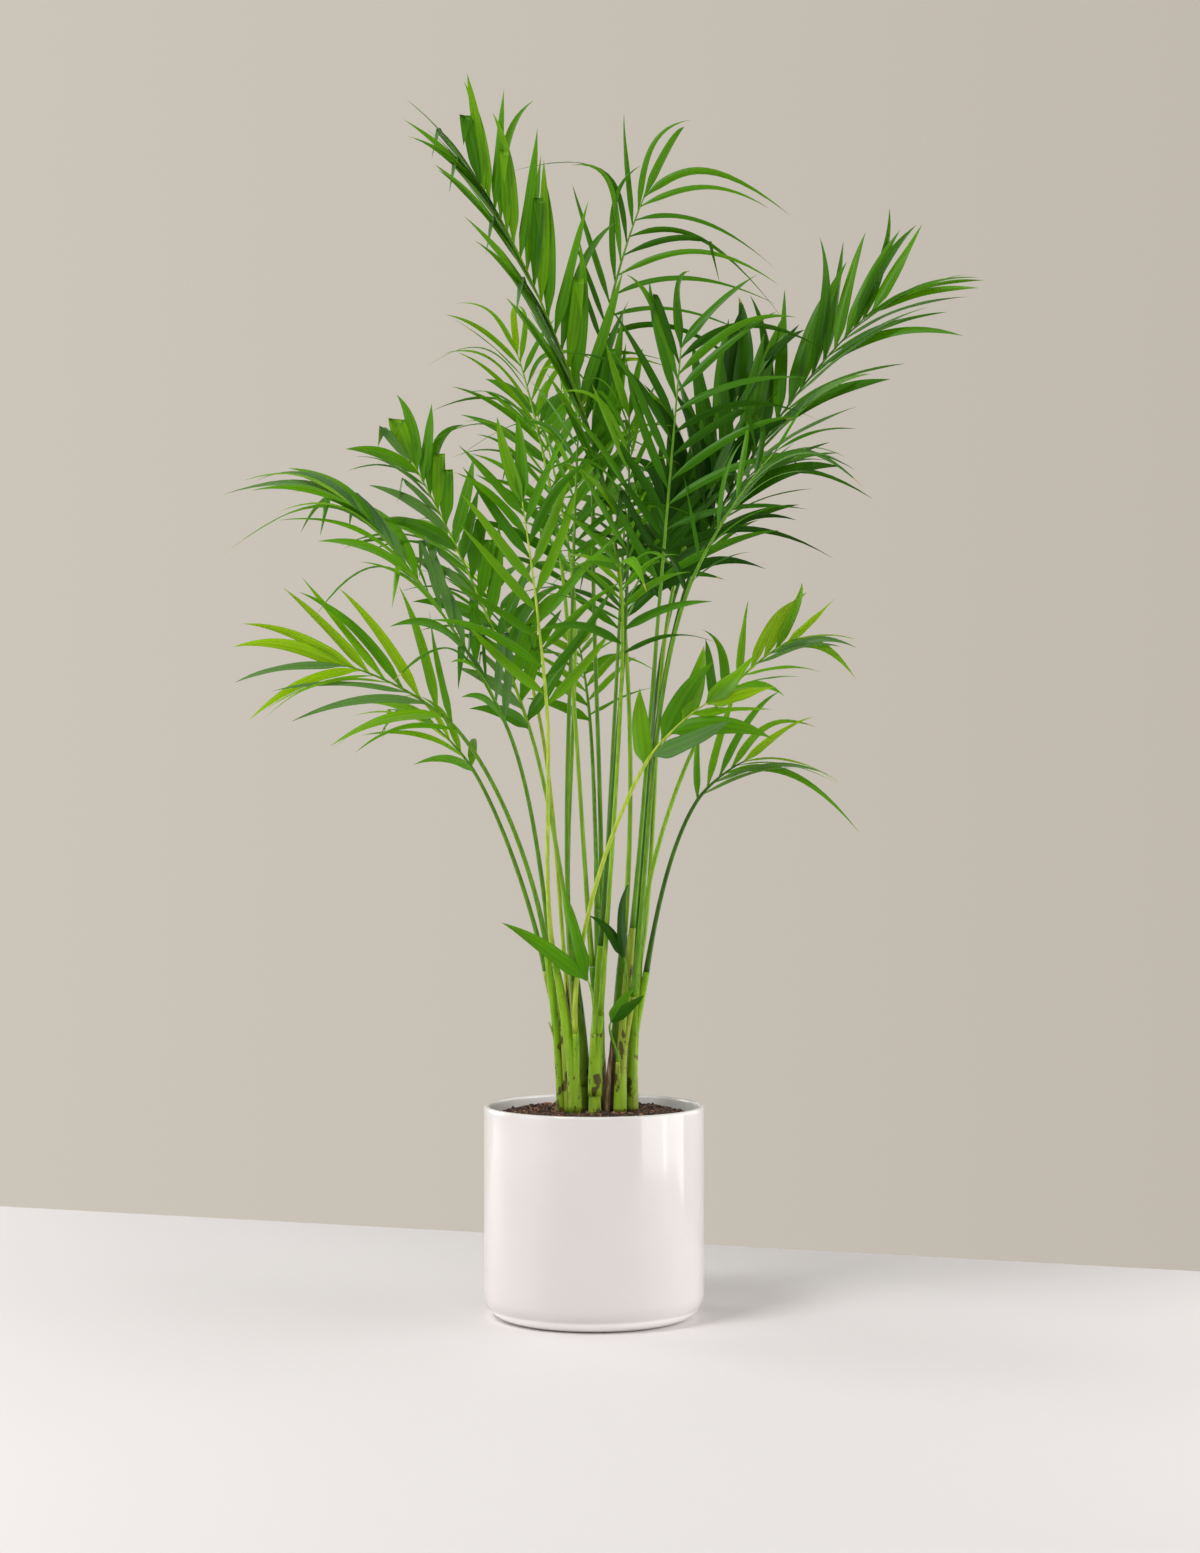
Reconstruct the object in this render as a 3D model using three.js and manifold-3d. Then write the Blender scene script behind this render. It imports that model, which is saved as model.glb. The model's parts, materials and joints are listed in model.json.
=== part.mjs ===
// Potted cat palm: a clump of leaning canes in a straight white pot, with pinnate fronds
// arching out of their sheaths. Millimetres, +Z up, origin at the middle of the pot's underside.
import * as THREE from "three";
import { mergeVertices } from "three/addons/utils/BufferGeometryUtils.js";
import Module from "manifold-3d";

const wasm = await Module();
wasm.setup();

// Gap that touching pieces keep
const gap = 0.3;

// Pot
const potRadius = 127;
const potHeight = 244;
const potWall = 6;
const potFloor = 8;
const potFootRound = 28;
const potRimRound = 2.4;
const potSides = 40;

// Soil: a flat crown that the canes stand on, and a slope down to the wall
const soilTop = 238;
const soilEdge = 230;
const soilFlatRadius = 85;

// Canes: a slight swelling at the foot, and sheaths that hold the side leaves
const caneSides = 6;
const caneSteps = 5;
const caneCurl = 1.5;
const footSwelling = 1.14;
const topShare = 0.8;
const sheathLength = 95;
const sheathRadius = 4.1;
const sheathSides = 5;
const sheathSteps = 3;
const sideLean = 0.09;

// Fronds: stalk and rib taper from the foot over the knee to the tip
const footRadius = 3.6;
const kneeRadius = 2.6;
const ribTipRadius = 1.2;
const smallLeafShare = 0.62;
const ribSides = 3;
const bendiness = 0.85;
const stalkSteps = 6;
const ribSteps = 6;
const pathStep = 0.001;

// Leaflets, and how far the second row starts behind the first, in steps of a pair
const rowStagger = 0.4;
const sweepOfLast = 15;
const forwardCurl = 0.12;
const leafThickness = 0.0125;
const leafRootDepth = 1;
const leafSides = 3;
const leafNeck = 0.13;
const leafBelly = 0.58;
const leafNeckWidth = 0.8;
const lastWidth = 1.3;
const lastLength = 0.95;
const clearance = 0.5;

// How much leaflets differ by chance: degrees of sweep, rise and twist, shares of length and sag
const sweepChance = 6;
const riseChance = 9;
const twistChance = 25;
const lengthChance = 0.07;
const sagChance = 0.4;

// Where each cane stands on the soil, where its top is, and how thick it is
const canes = [
  { foot: [-38, -20], top: [-54, -30, 424], radius: 5 },
  { foot: [-33, 12], top: [-50, 12, 425], radius: 7 },
  { foot: [-21, -32], top: [-44, -46, 410], radius: 6.4 },
  { foot: [-10, 6], top: [-28, 8, 440], radius: 6 },
  { foot: [1, -31], top: [8, -40, 430], radius: 6.8 },
  { foot: [8, -9], top: [4, -8, 470], radius: 5.6 },
  { foot: [30, -26], top: [44, -36, 450], radius: 6.4 },
  { foot: [43, -7], top: [53, -4, 430], radius: 6.6 },
  { foot: [23, 9], top: [35, 12, 440], radius: 6.6 },
  { foot: [-17, 33], top: [-28, 48, 420], radius: 6 },
  { foot: [5, 27], top: [8, 40, 460], radius: 6 },
  { foot: [31, 31], top: [46, 42, 430], radius: 6.2 },
];

// Each frond: the cane it grows on, the height of its foot if it leaves the cane's side,
// its knee (the lowest leaflets) and the tip of its rib, the way it leans and its roll, its
// leaflets in pairs, their length and width, how far they sweep away from the rib at its knee
// and its tip, how far they rise from its plane, and how each row sags. With a skew the first
// row lies closer to the rib than the second.
const fronds = [
  { name: "frond_top_left", cane: 9, knee: [14, 0, 950], tip: [-130, -30, 1302],
    facing: 180, roll: 52, pairs: 11, leaf: [150, 19], sweep: [34, 27], rise: 36, sag: [0.3, 0.03] },
  { name: "frond_top_middle", cane: 11, knee: [10, 60, 1130], tip: [59, 60, 1304],
    facing: 90, roll: 0, pairs: 10, leaf: [150, 10], sweep: [40, 32], rise: 8, sag: [0.15, 0.65],
    skew: 12 },
  { name: "frond_upper_right", cane: 7, knee: [76, -60, 840], tip: [99, -60, 1110],
    facing: 90, roll: 0, pairs: 11, leaf: [148, 14], sweep: [48, 32], rise: 8, sag: [0.04, 0.4],
    skew: 8 },
  { name: "frond_right", cane: 12, knee: [118, 20, 873], tip: [326, 40, 1168],
    facing: 0, roll: -52, pairs: 10, leaf: [150, 21], sweep: [38, 24], rise: 36, sag: [0.02, 0.3] },
  { name: "frond_right_upright", cane: 12, foot: 395, knee: [92, 50, 840], tip: [170, 60, 1070],
    facing: 0, roll: -52, pairs: 7, leaf: [140, 20], sweep: [34, 24], rise: 36, sag: [0.02, 0.3] },
  { name: "frond_right_front", cane: 7, foot: 370, knee: [104, -100, 827], tip: [203, -100, 987],
    facing: 0, roll: -40, pairs: 8, leaf: [118, 14], sweep: [43, 28], rise: 22, sag: [0.1, 0.3] },
  { name: "frond_right_inner", cane: 9, foot: 380, knee: [76, 0, 830], tip: [85, 0, 930],
    facing: 90, roll: 0, pairs: 5, leaf: [110, 18], sweep: [48, 28], rise: 15, sag: [0.2, 0.2] },
  { name: "frond_front_left", cane: 3, knee: [-53, -90, 704], tip: [-80, -110, 930],
    facing: -90, roll: 0, pairs: 11, leaf: [122, 15], sweep: [54, 24], rise: 5, sag: [0.08, 0.08] },
  { name: "frond_left_arch", cane: 2, knee: [-99, -40, 679], tip: [-266, -60, 923],
    facing: 180, roll: 20, pairs: 10, leaf: [152, 16], sweep: [46, 18], rise: 20, sag: [1.1, 1.25] },
  { name: "frond_left_back", cane: 4, knee: [-75, 20, 679], tip: [-212, 30, 990],
    facing: 180, roll: 55, pairs: 10, leaf: [100, 16], sweep: [44, 30], rise: 28, sag: [0.4, 0.15] },
  { name: "frond_low_left", cane: 1, knee: [-155, -60, 676], tip: [-281, -80, 748],
    facing: 180, roll: 58, pairs: 6, leaf: [145, 20], sweep: [40, 20], rise: 28, sag: [0.35, 0.04] },
  { name: "frond_low_right", cane: 8, knee: [142, 20, 704], tip: [226, 20, 780],
    facing: 0, roll: -50, pairs: 6, leaf: [92, 15], sweep: [46, 26], rise: 25, sag: [0.05, 0.2] },
  { name: "frond_low_front", cane: 3, foot: 330, knee: [58, -90, 637], tip: [128, -90, 706],
    facing: 0, roll: -60, pairs: 4, leaf: [98, 19], sweep: [46, 22], rise: 10, sag: [0.05, 0.15] },
  { name: "frond_lowest_right", cane: 8, foot: 395, knee: [119, -20, 596], tip: [172, -20, 640],
    facing: 0, roll: -50, pairs: 4, leaf: [120, 14], sweep: [44, 16], rise: 25, sag: [0.05, 0.45] },
  { name: "frond_low_left_back", cane: 2, foot: 395, knee: [-140, 50, 628], tip: [-190, 60, 684],
    facing: 180, roll: 20, pairs: 4, leaf: [115, 15], sweep: [47, 22], rise: 15, sag: [0.6, 0.6] },
  { name: "frond_back_high", cane: 10, knee: [-25, 110, 850], tip: [-70, 250, 1070],
    facing: 105, roll: 0, pairs: 9, leaf: [135, 15], sweep: [54, 26], rise: 15, sag: [0.2, 0.2] },
  { name: "frond_back", cane: 11, foot: 380, knee: [30, 130, 800], tip: [40, 320, 980],
    facing: 80, roll: 0, pairs: 9, leaf: [130, 15], sweep: [54, 26], rise: 15, sag: [0.25, 0.25] },
  { name: "frond_back_right", cane: 12, foot: 350, knee: [100, 120, 850], tip: [210, 260, 1010],
    facing: 50, roll: 0, pairs: 9, leaf: [130, 15], sweep: [54, 26], rise: 15, sag: [0.25, 0.25] },
  { name: "frond_back_left", cane: 10, foot: 345, knee: [-80, 110, 750], tip: [-190, 240, 920],
    facing: 135, roll: 0, pairs: 9, leaf: [130, 15], sweep: [54, 26], rise: 15, sag: [0.25, 0.25] },
  { name: "frond_low_back", cane: 6, knee: [-5, 120, 690], tip: [-20, 250, 790],
    facing: 95, roll: 0, pairs: 6, leaf: [100, 15], sweep: [52, 24], rise: 15, sag: [0.2, 0.2] },
  { name: "frond_front", cane: 5, foot: 350, knee: [32, -115, 760], tip: [28, -245, 850],
    facing: -90, roll: 0, pairs: 8, leaf: [105, 13], sweep: [54, 26], rise: 15, sag: [0.3, 0.3] },
  { name: "frond_heart_right", cane: 5, knee: [36, -60, 800], tip: [40, -60, 1030],
    facing: -40, roll: 0, pairs: 9, leaf: [120, 14], sweep: [50, 26], rise: 15, sag: [0.15, 0.15] },
  { name: "frond_heart", cane: 4, foot: 385, knee: [-24, -10, 850], tip: [-16, 0, 1060],
    facing: -120, roll: 0, pairs: 9, leaf: [125, 14], sweep: [50, 26], rise: 15, sag: [0.15, 0.15] },
  { name: "frond_heart_left", cane: 6, foot: 400, knee: [-46, 35, 930], tip: [-90, 70, 1120],
    facing: 160, roll: 30, pairs: 9, leaf: [125, 13], sweep: [50, 30], rise: 10, sag: [0.25, 0.25] },
  { name: "small_leaf_front", cane: 5, foot: 330, knee: [-4, -62, 385], tip: [-8, -64, 393],
    facing: 90, roll: 0, pairs: 1, leaf: [150, 16], sweep: [20, 20], rise: 5, sag: [0.1, 0], skew: -2,
    small: true },
  { name: "small_leaf_right", cane: 7, foot: 350, knee: [36, -60, 410], tip: [34, -61, 418],
    facing: 90, roll: 0, pairs: 1, leaf: [120, 10], sweep: [20, 20], rise: 5, sag: [0, 0.1],
    small: true },
  { name: "small_leaf_low", cane: 7, foot: 300, knee: [18, -58, 340], tip: [20, -60, 345],
    facing: 90, roll: 0, pairs: 1, leaf: [60, 11], sweep: [20, 20], rise: 5, sag: [0.1, 0.1],
    small: true },
];

const colours = {
  pot: new THREE.MeshStandardMaterial({ color: 0xe9e4e2, roughness: 0.45, metalness: 0 }),
  soil: new THREE.MeshStandardMaterial({ color: 0x2e1c14, roughness: 0.95, metalness: 0 }),
  cane: new THREE.MeshStandardMaterial({ color: 0x6f9a2c, roughness: 0.55, metalness: 0 }),
  frond: new THREE.MeshStandardMaterial({ color: 0x2f7d24, roughness: 0.45, metalness: 0 }),
};

const up = new THREE.Vector3(0, 0, 1);
const vector = (list) => new THREE.Vector3(...list);
const radians = THREE.MathUtils.degToRad;
const mix = THREE.MathUtils.lerp;

// A fixed number between -1 and 1 for a whole number, the same each time
function chance(key) {
  const modulus = 2147483647;
  const factor = 48271;
  let state = (key * 7919 + 12345) % modulus;
  for (let turn = 0; turn < 3; turn += 1) {
    state = (state * factor) % modulus;
  }
  return (2 * state) / modulus - 1;
}

// A point on the curve from one place and heading to another, for share from 0 to 1
function arc(from, fromHeading, to, toHeading, share) {
  const squared = share * share;
  const cubed = squared * share;
  const reach = from.distanceTo(to) * bendiness;
  return new THREE.Vector3()
    .addScaledVector(from, 2 * cubed - 3 * squared + 1)
    .addScaledVector(fromHeading, reach * (cubed - 2 * squared + share))
    .addScaledVector(to, 3 * squared - 2 * cubed)
    .addScaledVector(toHeading, reach * (cubed - squared));
}

// Place, heading, side and upper face of a path at a share of its length
function frameOf(path, share, sideHint) {
  const before = path(Math.max(share - pathStep, 0));
  const after = path(Math.min(share + pathStep, 1));
  const heading = after.sub(before).normalize();
  const side = sideHint.clone().addScaledVector(heading, -sideHint.dot(heading)).normalize();
  return { at: path(share), heading, side, face: side.clone().cross(heading) };
}

// A closed mesh as a solid that can be joined and cut
function solidOf(geometry) {
  geometry.deleteAttribute("normal");
  geometry.deleteAttribute("uv");
  const merged = mergeVertices(geometry, 1e-4);
  return new wasm.Manifold(
    new wasm.Mesh({
      numProp: 3,
      vertProperties: merged.attributes.position.array,
      triVerts: new Uint32Array(merged.index.array),
    }),
  );
}

// A tapering rod that follows a path, made by bending a straight one that is turned on its axis
function bentRod(path, sideHint, radiusAt, sides, steps, turn = 0) {
  const rod = new THREE.CylinderGeometry(1, 1, 1, sides, steps, false, turn);
  const spots = rod.attributes.position;
  for (let i = 0; i < spots.count; i += 1) {
    const share = spots.getY(i) + 0.5;
    const { at, side, face } = frameOf(path, share, sideHint);
    const radius = radiusAt(share);
    at.addScaledVector(side, radius * spots.getX(i));
    at.addScaledVector(face, radius * spots.getZ(i));
    spots.setXYZ(i, at.x, at.y, at.z);
  }
  return solidOf(rod);
}

function canePath(cane) {
  const foot = vector([...cane.foot, soilTop + gap]);
  const top = vector(cane.top);
  const lean = top.clone().sub(foot).setZ(0).multiplyScalar(caneCurl);
  const topHeading = lean.divideScalar(top.z - foot.z).add(up);
  return (share) => arc(foot, up, top, topHeading, share);
}

function caneRadius(cane, share) {
  return cane.radius * mix(footSwelling, topShare, Math.sqrt(share));
}

// The place on a cane at a height above the floor
function caneAt(cane, height) {
  const foot = soilTop + gap;
  const share = (height - foot) / (cane.top[2] - foot);
  return { share, ...frameOf(canePath(cane), share, new THREE.Vector3(1, 0, 0)) };
}

// Where a frond stands: on the cane's flat top, or on the sheath at its side
function seatOf(frond) {
  const cane = canes[frond.cane - 1];
  if (!frond.foot) {
    const { at, heading } = caneAt(cane, cane.top[2]);
    return { at, heading, away: new THREE.Vector3() };
  }
  const { share, at, heading } = caneAt(cane, frond.foot);
  const away = vector(frond.knee).sub(at).setZ(0).normalize();
  const offset = caneRadius(cane, share) + footRadius + 2 * clearance;
  at.addScaledVector(away, offset);
  return { at, heading: heading.addScaledVector(away, sideLean).normalize(), away, offset };
}

// The sheath that hugs the cane and opens into a side leaf's foot
function sheathOf(frond) {
  const seat = seatOf(frond);
  const cane = canes[frond.cane - 1];
  const root = caneAt(cane, frond.foot - sheathLength * (frond.small ? smallLeafShare : 1));
  const path = (share) => arc(root.at, root.heading, seat.at, seat.heading, share);
  const radius = sheathRadius * (frond.small ? smallLeafShare : 1);
  return bentRod(path, seat.away, () => radius, sheathSides, sheathSteps);
}

function caneSolid(cane, number) {
  const along = new THREE.Vector3(1, 0, 0);
  const radiusAt = (share) => caneRadius(cane, share);
  let solid = bentRod(canePath(cane), along, radiusAt, caneSides, caneSteps);
  for (const frond of fronds.filter((one) => one.cane === number && one.foot)) {
    solid = solid.add(sheathOf(frond));
  }
  return solid;
}

// The frond's middle line: a stalk up to the knee, then the rib, which goes on bending to its tip
function ribPath(frond) {
  const seat = seatOf(frond);
  const foot = seat.at.clone().addScaledVector(seat.heading, gap);
  const knee = vector(frond.knee);
  const tip = vector(frond.tip);
  const rise = knee.clone().sub(foot).normalize();
  const reach = tip.clone().sub(knee).normalize();
  const kneeHeading = rise.add(reach).normalize();
  const tipHeading = reach.clone().multiplyScalar(2).sub(kneeHeading).normalize();
  return (share) => {
    if (share < 0.5) {
      return arc(foot, seat.heading, knee, kneeHeading, 2 * share);
    }
    return arc(knee, kneeHeading, tip, tipHeading, 2 * share - 1);
  };
}

function ribRadius(frond, share) {
  const size = frond.small ? smallLeafShare : 1;
  if (share < 0.5) {
    return size * mix(footRadius, kneeRadius, 2 * share);
  }
  return size * mix(kneeRadius, ribTipRadius, 2 * share - 1);
}

// The direction across a frond before its roll
function across(frond) {
  const facing = radians(frond.facing);
  return new THREE.Vector3(Math.sin(facing), -Math.cos(facing), 0);
}

function ribSolid(frond) {
  const radiusAt = (share) => ribRadius(frond, share);
  const turn = radians(-frond.roll);
  return bentRod(ribPath(frond), across(frond), radiusAt, ribSides, stalkSteps + ribSteps, turn);
}

// Share of the full leaflet length along the rib: longest a third of the way up
function lengthAlong(along) {
  return 1 - 0.5 * (along - 0.35) ** 2 - 0.8 * Math.max(0, 0.15 - along);
}

// One leaflet's root, heading, blade and sizes; turn and shrink give it another try. The blade
// reaches across its heading in the plane that holds the rib.
function leafletOf(frond, pair, row, turn, shrink) {
  const key = fronds.indexOf(frond) * 97 + pair * 2 + (row > 0 ? 1 : 0);
  const last = pair === frond.pairs - 1;
  const along = last ? 1 : (pair + (row > 0 ? rowStagger : 0)) / (frond.pairs - 1 + rowStagger);
  const rib = frameOf(ribPath(frond), 0.5 + 0.5 * along, across(frond));
  const roll = radians(frond.roll);
  const side = rib.side.clone().applyAxisAngle(rib.heading, -roll);
  const face = side.clone().cross(rib.heading);
  const sweepRule = last ? sweepOfLast : mix(...frond.sweep, along);
  const skew = row * (frond.skew || 0);
  const sweep = radians(sweepRule + skew + sweepChance * chance(key) + turn);
  const rise = radians(frond.rise + riseChance * chance(key + 31));
  const heading = rib.heading.clone().multiplyScalar(Math.cos(sweep));
  heading.addScaledVector(side, row * Math.sin(sweep) * Math.cos(rise));
  heading.addScaledVector(face, Math.sin(sweep) * Math.sin(rise));
  const blade = side.multiplyScalar(Math.sin(rise)).addScaledVector(face, -row * Math.cos(rise));
  blade.crossVectors(heading, blade).applyAxisAngle(heading, radians(twistChance * chance(key + 83)));
  const size = frond.leaf[0] * lengthAlong(along) * (1 + lengthChance * chance(key + 57));
  return {
    root: rib.at.addScaledVector(heading, -leafRootDepth),
    heading,
    forward: rib.heading,
    blade,
    length: size * shrink * (last ? lastLength : 1),
    width: frond.leaf[1] * (last ? lastWidth : 1),
    sag: frond.sag[row > 0 ? 1 : 0] * (1 + sagChance * chance(key + 71)),
  };
}

// The leaflet's middle line: it curls forward, and sags the more the further it leans out
function leafletPath(leaflet) {
  const down = leaflet.heading.clone().multiplyScalar(leaflet.heading.z).sub(up);
  return (share) =>
    leaflet.root
      .clone()
      .addScaledVector(leaflet.heading, leaflet.length * share)
      .addScaledVector(leaflet.forward, leaflet.length * forwardCurl * share * share)
      .addScaledVector(down, leaflet.length * leaflet.sag * share * share);
}

// A leaflet as a three-sided blade with a keel, pointed at both ends, widest at its belly,
// with a margin thicker all round if asked
function leafletSolid(leaflet, margin) {
  const stations = [0, leafNeck, leafBelly, 1];
  const widths = [0, leafNeckWidth, 1, 0];
  const steps = stations.length - 1;
  const blade = new THREE.SphereGeometry(1, leafSides, steps);
  const spots = blade.attributes.position;
  const path = leafletPath(leaflet);
  const height = (leafThickness * leaflet.length) / (1 + Math.cos(Math.PI / leafSides));
  for (let i = 0; i < spots.count; i += 1) {
    const station = Math.round((1 - Math.acos(spots.getY(i)) / Math.PI) * steps);
    const { at, side, face } = frameOf(path, stations[station], leaflet.blade);
    const length = Math.hypot(spots.getX(i), spots.getZ(i));
    if (length > 1e-6) {
      const halfWidth = (widths[station] * leaflet.width) / 2;
      const outward = spots.getZ(i) / length;
      const upward = -spots.getX(i) / length;
      at.addScaledVector(side, outward * (halfWidth / Math.sin(Math.PI / leafSides) + margin));
      at.addScaledVector(face, upward * (height + margin));
    }
    spots.setXYZ(i, at.x, at.y, at.z);
  }
  return solidOf(blade);
}

function boxOf(solid) {
  const { min, max } = solid.boundingBox();
  return new THREE.Box3(vector(min), vector(max));
}

// The nudges that a leaflet tries, one after the other, before it is left out
const tries = [
  { turn: 0, shrink: 1 },
  { turn: 8, shrink: 1 },
  { turn: -8, shrink: 1 },
  { turn: 16, shrink: 0.95 },
  { turn: -16, shrink: 0.95 },
  { turn: 0, shrink: 0.75 },
  { turn: 12, shrink: 0.6 },
  { turn: -12, shrink: 0.6 },
];

function place(name, solid, colour, origin) {
  const { vertProperties, triVerts } = solid.getMesh();
  const geometry = new THREE.BufferGeometry();
  geometry.setAttribute("position", new THREE.BufferAttribute(vertProperties, 3));
  geometry.setIndex(new THREE.BufferAttribute(triVerts, 1));
  geometry.translate(-origin.x, -origin.y, -origin.z);
  geometry.computeVertexNormals();
  const mesh = new THREE.Mesh(geometry, colour);
  mesh.name = name;
  mesh.position.copy(origin);
  return mesh;
}

// Points of a quarter round in a turned profile
function quarterRound(centreX, centreY, radius, fromDegrees, toDegrees, steps) {
  const points = [];
  for (let i = 0; i <= steps; i += 1) {
    const angle = radians(mix(fromDegrees, toDegrees, i / steps));
    const x = centreX + radius * Math.cos(angle);
    points.push(new THREE.Vector2(x, centreY + radius * Math.sin(angle)));
  }
  return points;
}

// A turned piece, with its axis along Z
function turned(profile) {
  return new THREE.LatheGeometry(profile, potSides).rotateX(Math.PI / 2);
}

function potMesh() {
  const inner = potRadius - potWall;
  const innerRound = potFootRound - potWall;
  const profile = [
    new THREE.Vector2(0, 0),
    ...quarterRound(potRadius - potFootRound, potFootRound, potFootRound, -90, 0, 5),
    ...quarterRound(potRadius - potRimRound, potHeight - potRimRound, potRimRound, 0, 90, 2),
    ...quarterRound(inner + potRimRound, potHeight - potRimRound, potRimRound, 90, 180, 2),
    ...quarterRound(inner - innerRound, potFloor + innerRound, innerRound, 0, -90, 4),
    new THREE.Vector2(0, potFloor),
  ];
  const mesh = new THREE.Mesh(turned(profile), colours.pot);
  mesh.name = "pot";
  return mesh;
}

function soilMesh() {
  const radius = potRadius - potWall - gap;
  const round = potFootRound - potWall - gap;
  const profile = [
    new THREE.Vector2(0, potFloor + gap),
    ...quarterRound(radius - round, potFloor + gap + round, round, -90, 0, 4),
    new THREE.Vector2(radius, soilEdge),
    new THREE.Vector2(soilFlatRadius, soilTop),
    new THREE.Vector2(0, soilTop),
  ];
  const mesh = new THREE.Mesh(turned(profile), colours.soil);
  mesh.name = "soil";
  return mesh;
}

const palm = new THREE.Group();
palm.add(potMesh(), soilMesh());

// Everything that stands already, with its box: a leaflet must keep clear of all but its own rib
const standing = [];
const stand = (solid, owner) => standing.push({ solid, owner, box: boxOf(solid) });

const clump = new THREE.Group();
clump.name = "clump";
canes.forEach((cane, index) => {
  const solid = caneSolid(cane, index + 1);
  stand(solid, null);
  const name = `cane_${String(index + 1).padStart(2, "0")}`;
  clump.add(place(name, solid, colours.cane, vector([...cane.foot, soilTop + gap])));
});
palm.add(clump);

const ribs = fronds.map((frond) => ribSolid(frond));
ribs.forEach((rib, index) => stand(rib, fronds[index]));

function isClear(solid, frond) {
  const box = boxOf(solid);
  return !standing.some(
    (other) =>
      other.owner !== frond && other.box.intersectsBox(box) && !other.solid.intersect(solid).isEmpty(),
  );
}

// A leaflet that keeps clear of the other fronds, or nothing
function fittedLeaflet(frond, pair, row) {
  for (const { turn, shrink } of tries) {
    const leaflet = leafletOf(frond, pair, row, turn, shrink);
    if (isClear(leafletSolid(leaflet, clearance), frond)) {
      return leafletSolid(leaflet, 0);
    }
  }
  return null;
}

const crown = new THREE.Group();
crown.name = "crown";
fronds.forEach((frond, index) => {
  const blades = [];
  for (let pair = 0; pair < frond.pairs; pair += 1) {
    for (const row of [-1, 1]) {
      const blade = fittedLeaflet(frond, pair, row);
      if (blade) {
        stand(blade, frond);
        blades.push(blade);
      }
    }
  }
  const solid = blades.reduce((joined, blade) => joined.add(blade), ribs[index]);
  const seat = seatOf(frond);
  crown.add(place(frond.name, solid, colours.frond, seat.at));
});
palm.add(crown);

export default palm;
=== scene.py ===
# %% [markdown]
# A potted cat palm. Thin green canes stand close together in a straight white pot, and long stalks
# carry feather-shaped fronds out of them. The imported model gives the frame: the pieces made here take
# the place of its solids, at the same size and in the same place. Only the loose soil chips and the old
# sheaths are extra. We load that frame first.

import json
import math
import random

import bmesh
import bpy
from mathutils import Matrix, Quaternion, Vector, noise
from mathutils.bvhtree import BVHTree

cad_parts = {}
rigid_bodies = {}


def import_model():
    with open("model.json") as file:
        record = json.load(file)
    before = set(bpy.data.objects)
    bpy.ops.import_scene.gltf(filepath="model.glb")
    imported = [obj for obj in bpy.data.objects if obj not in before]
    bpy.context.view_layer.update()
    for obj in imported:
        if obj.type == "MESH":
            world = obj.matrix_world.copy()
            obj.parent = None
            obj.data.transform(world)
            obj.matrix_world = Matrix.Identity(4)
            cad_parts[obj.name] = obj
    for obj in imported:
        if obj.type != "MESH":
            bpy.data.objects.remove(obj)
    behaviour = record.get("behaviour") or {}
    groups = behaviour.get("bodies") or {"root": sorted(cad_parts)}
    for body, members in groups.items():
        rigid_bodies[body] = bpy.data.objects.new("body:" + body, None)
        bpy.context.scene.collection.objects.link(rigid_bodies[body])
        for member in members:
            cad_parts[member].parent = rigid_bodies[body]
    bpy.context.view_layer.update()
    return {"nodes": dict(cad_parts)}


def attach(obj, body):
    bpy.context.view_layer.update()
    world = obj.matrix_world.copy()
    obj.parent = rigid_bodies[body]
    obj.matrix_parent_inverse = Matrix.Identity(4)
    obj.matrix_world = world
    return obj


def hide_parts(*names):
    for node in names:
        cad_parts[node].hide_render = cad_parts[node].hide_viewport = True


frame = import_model()
scene = bpy.context.scene
print("nodes in the frame:", len(frame["nodes"]))

# %% [markdown]
# The camera comes first, because every choice after it is judged through it. The palm was
# pictured level, from about three and a half metres away, so that its upright canes stay upright.
# We could turn a camera until it looks right. Working from the distance and the lens is surer:
# the sensor's 36 mm lie along the picture's long side, and the lens gives its height at the pot.
# The plain view transform keeps the pale pot and floor bright.

# %% Camera
CAMERA_PLACE = (0.007, -3.468, 0.623)
LENS_MM = 69.63

camera_data = bpy.data.cameras.new("camera")
camera_data.sensor_fit = "VERTICAL"
camera_data.sensor_height = 36.0
camera_data.lens = LENS_MM
camera = bpy.data.objects.new("camera", camera_data)
camera.location = CAMERA_PLACE
camera.rotation_euler = (math.radians(90.0), 0.0, 0.0)
scene.collection.objects.link(camera)
scene.camera = camera
scene.view_settings.view_transform = "Standard"
print("camera", CAMERA_PLACE, "lens", LENS_MM, "mm")

# %% [markdown]
# Materials are made from nodes. A short helper makes the material with its Principled shader.
# A second one adds a node and links its inputs, and puts in front of its kind the ShaderNode that
# all their names start with. Small ones for the nodes that many finishes share, such as noise, a
# blend and a colour ramp, let each finish below read as a recipe. The room has a node tree as
# well, so the same helpers serve it.

# %% Material helpers
def new_material(name, colour, roughness, gloss=0.5):
    material = bpy.data.materials.new(name)
    material.use_nodes = True
    shader = material.node_tree.nodes["Principled BSDF"]
    shader.inputs["Base Color"].default_value = (*colour, 1.0)
    shader.inputs["Roughness"].default_value = roughness
    shader.inputs["Specular IOR Level"].default_value = gloss
    return material, shader


def add_node(material, kind, values=(), **settings):
    node = material.node_tree.nodes.new("ShaderNode" + kind)
    for name, value in settings.items():
        setattr(node, name, value)
    for socket, value in dict(values).items():
        if isinstance(value, bpy.types.NodeSocket):
            link(material, value, node.inputs[socket])
        else:
            node.inputs[socket].default_value = value
    return node


def link(material, output, target):
    material.node_tree.links.new(output, target)


def object_place(material):
    return add_node(material, "TexCoord").outputs["Object"]


def parts_of(material, vector):
    return add_node(material, "SeparateXYZ", {"Vector": vector}).outputs


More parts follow.
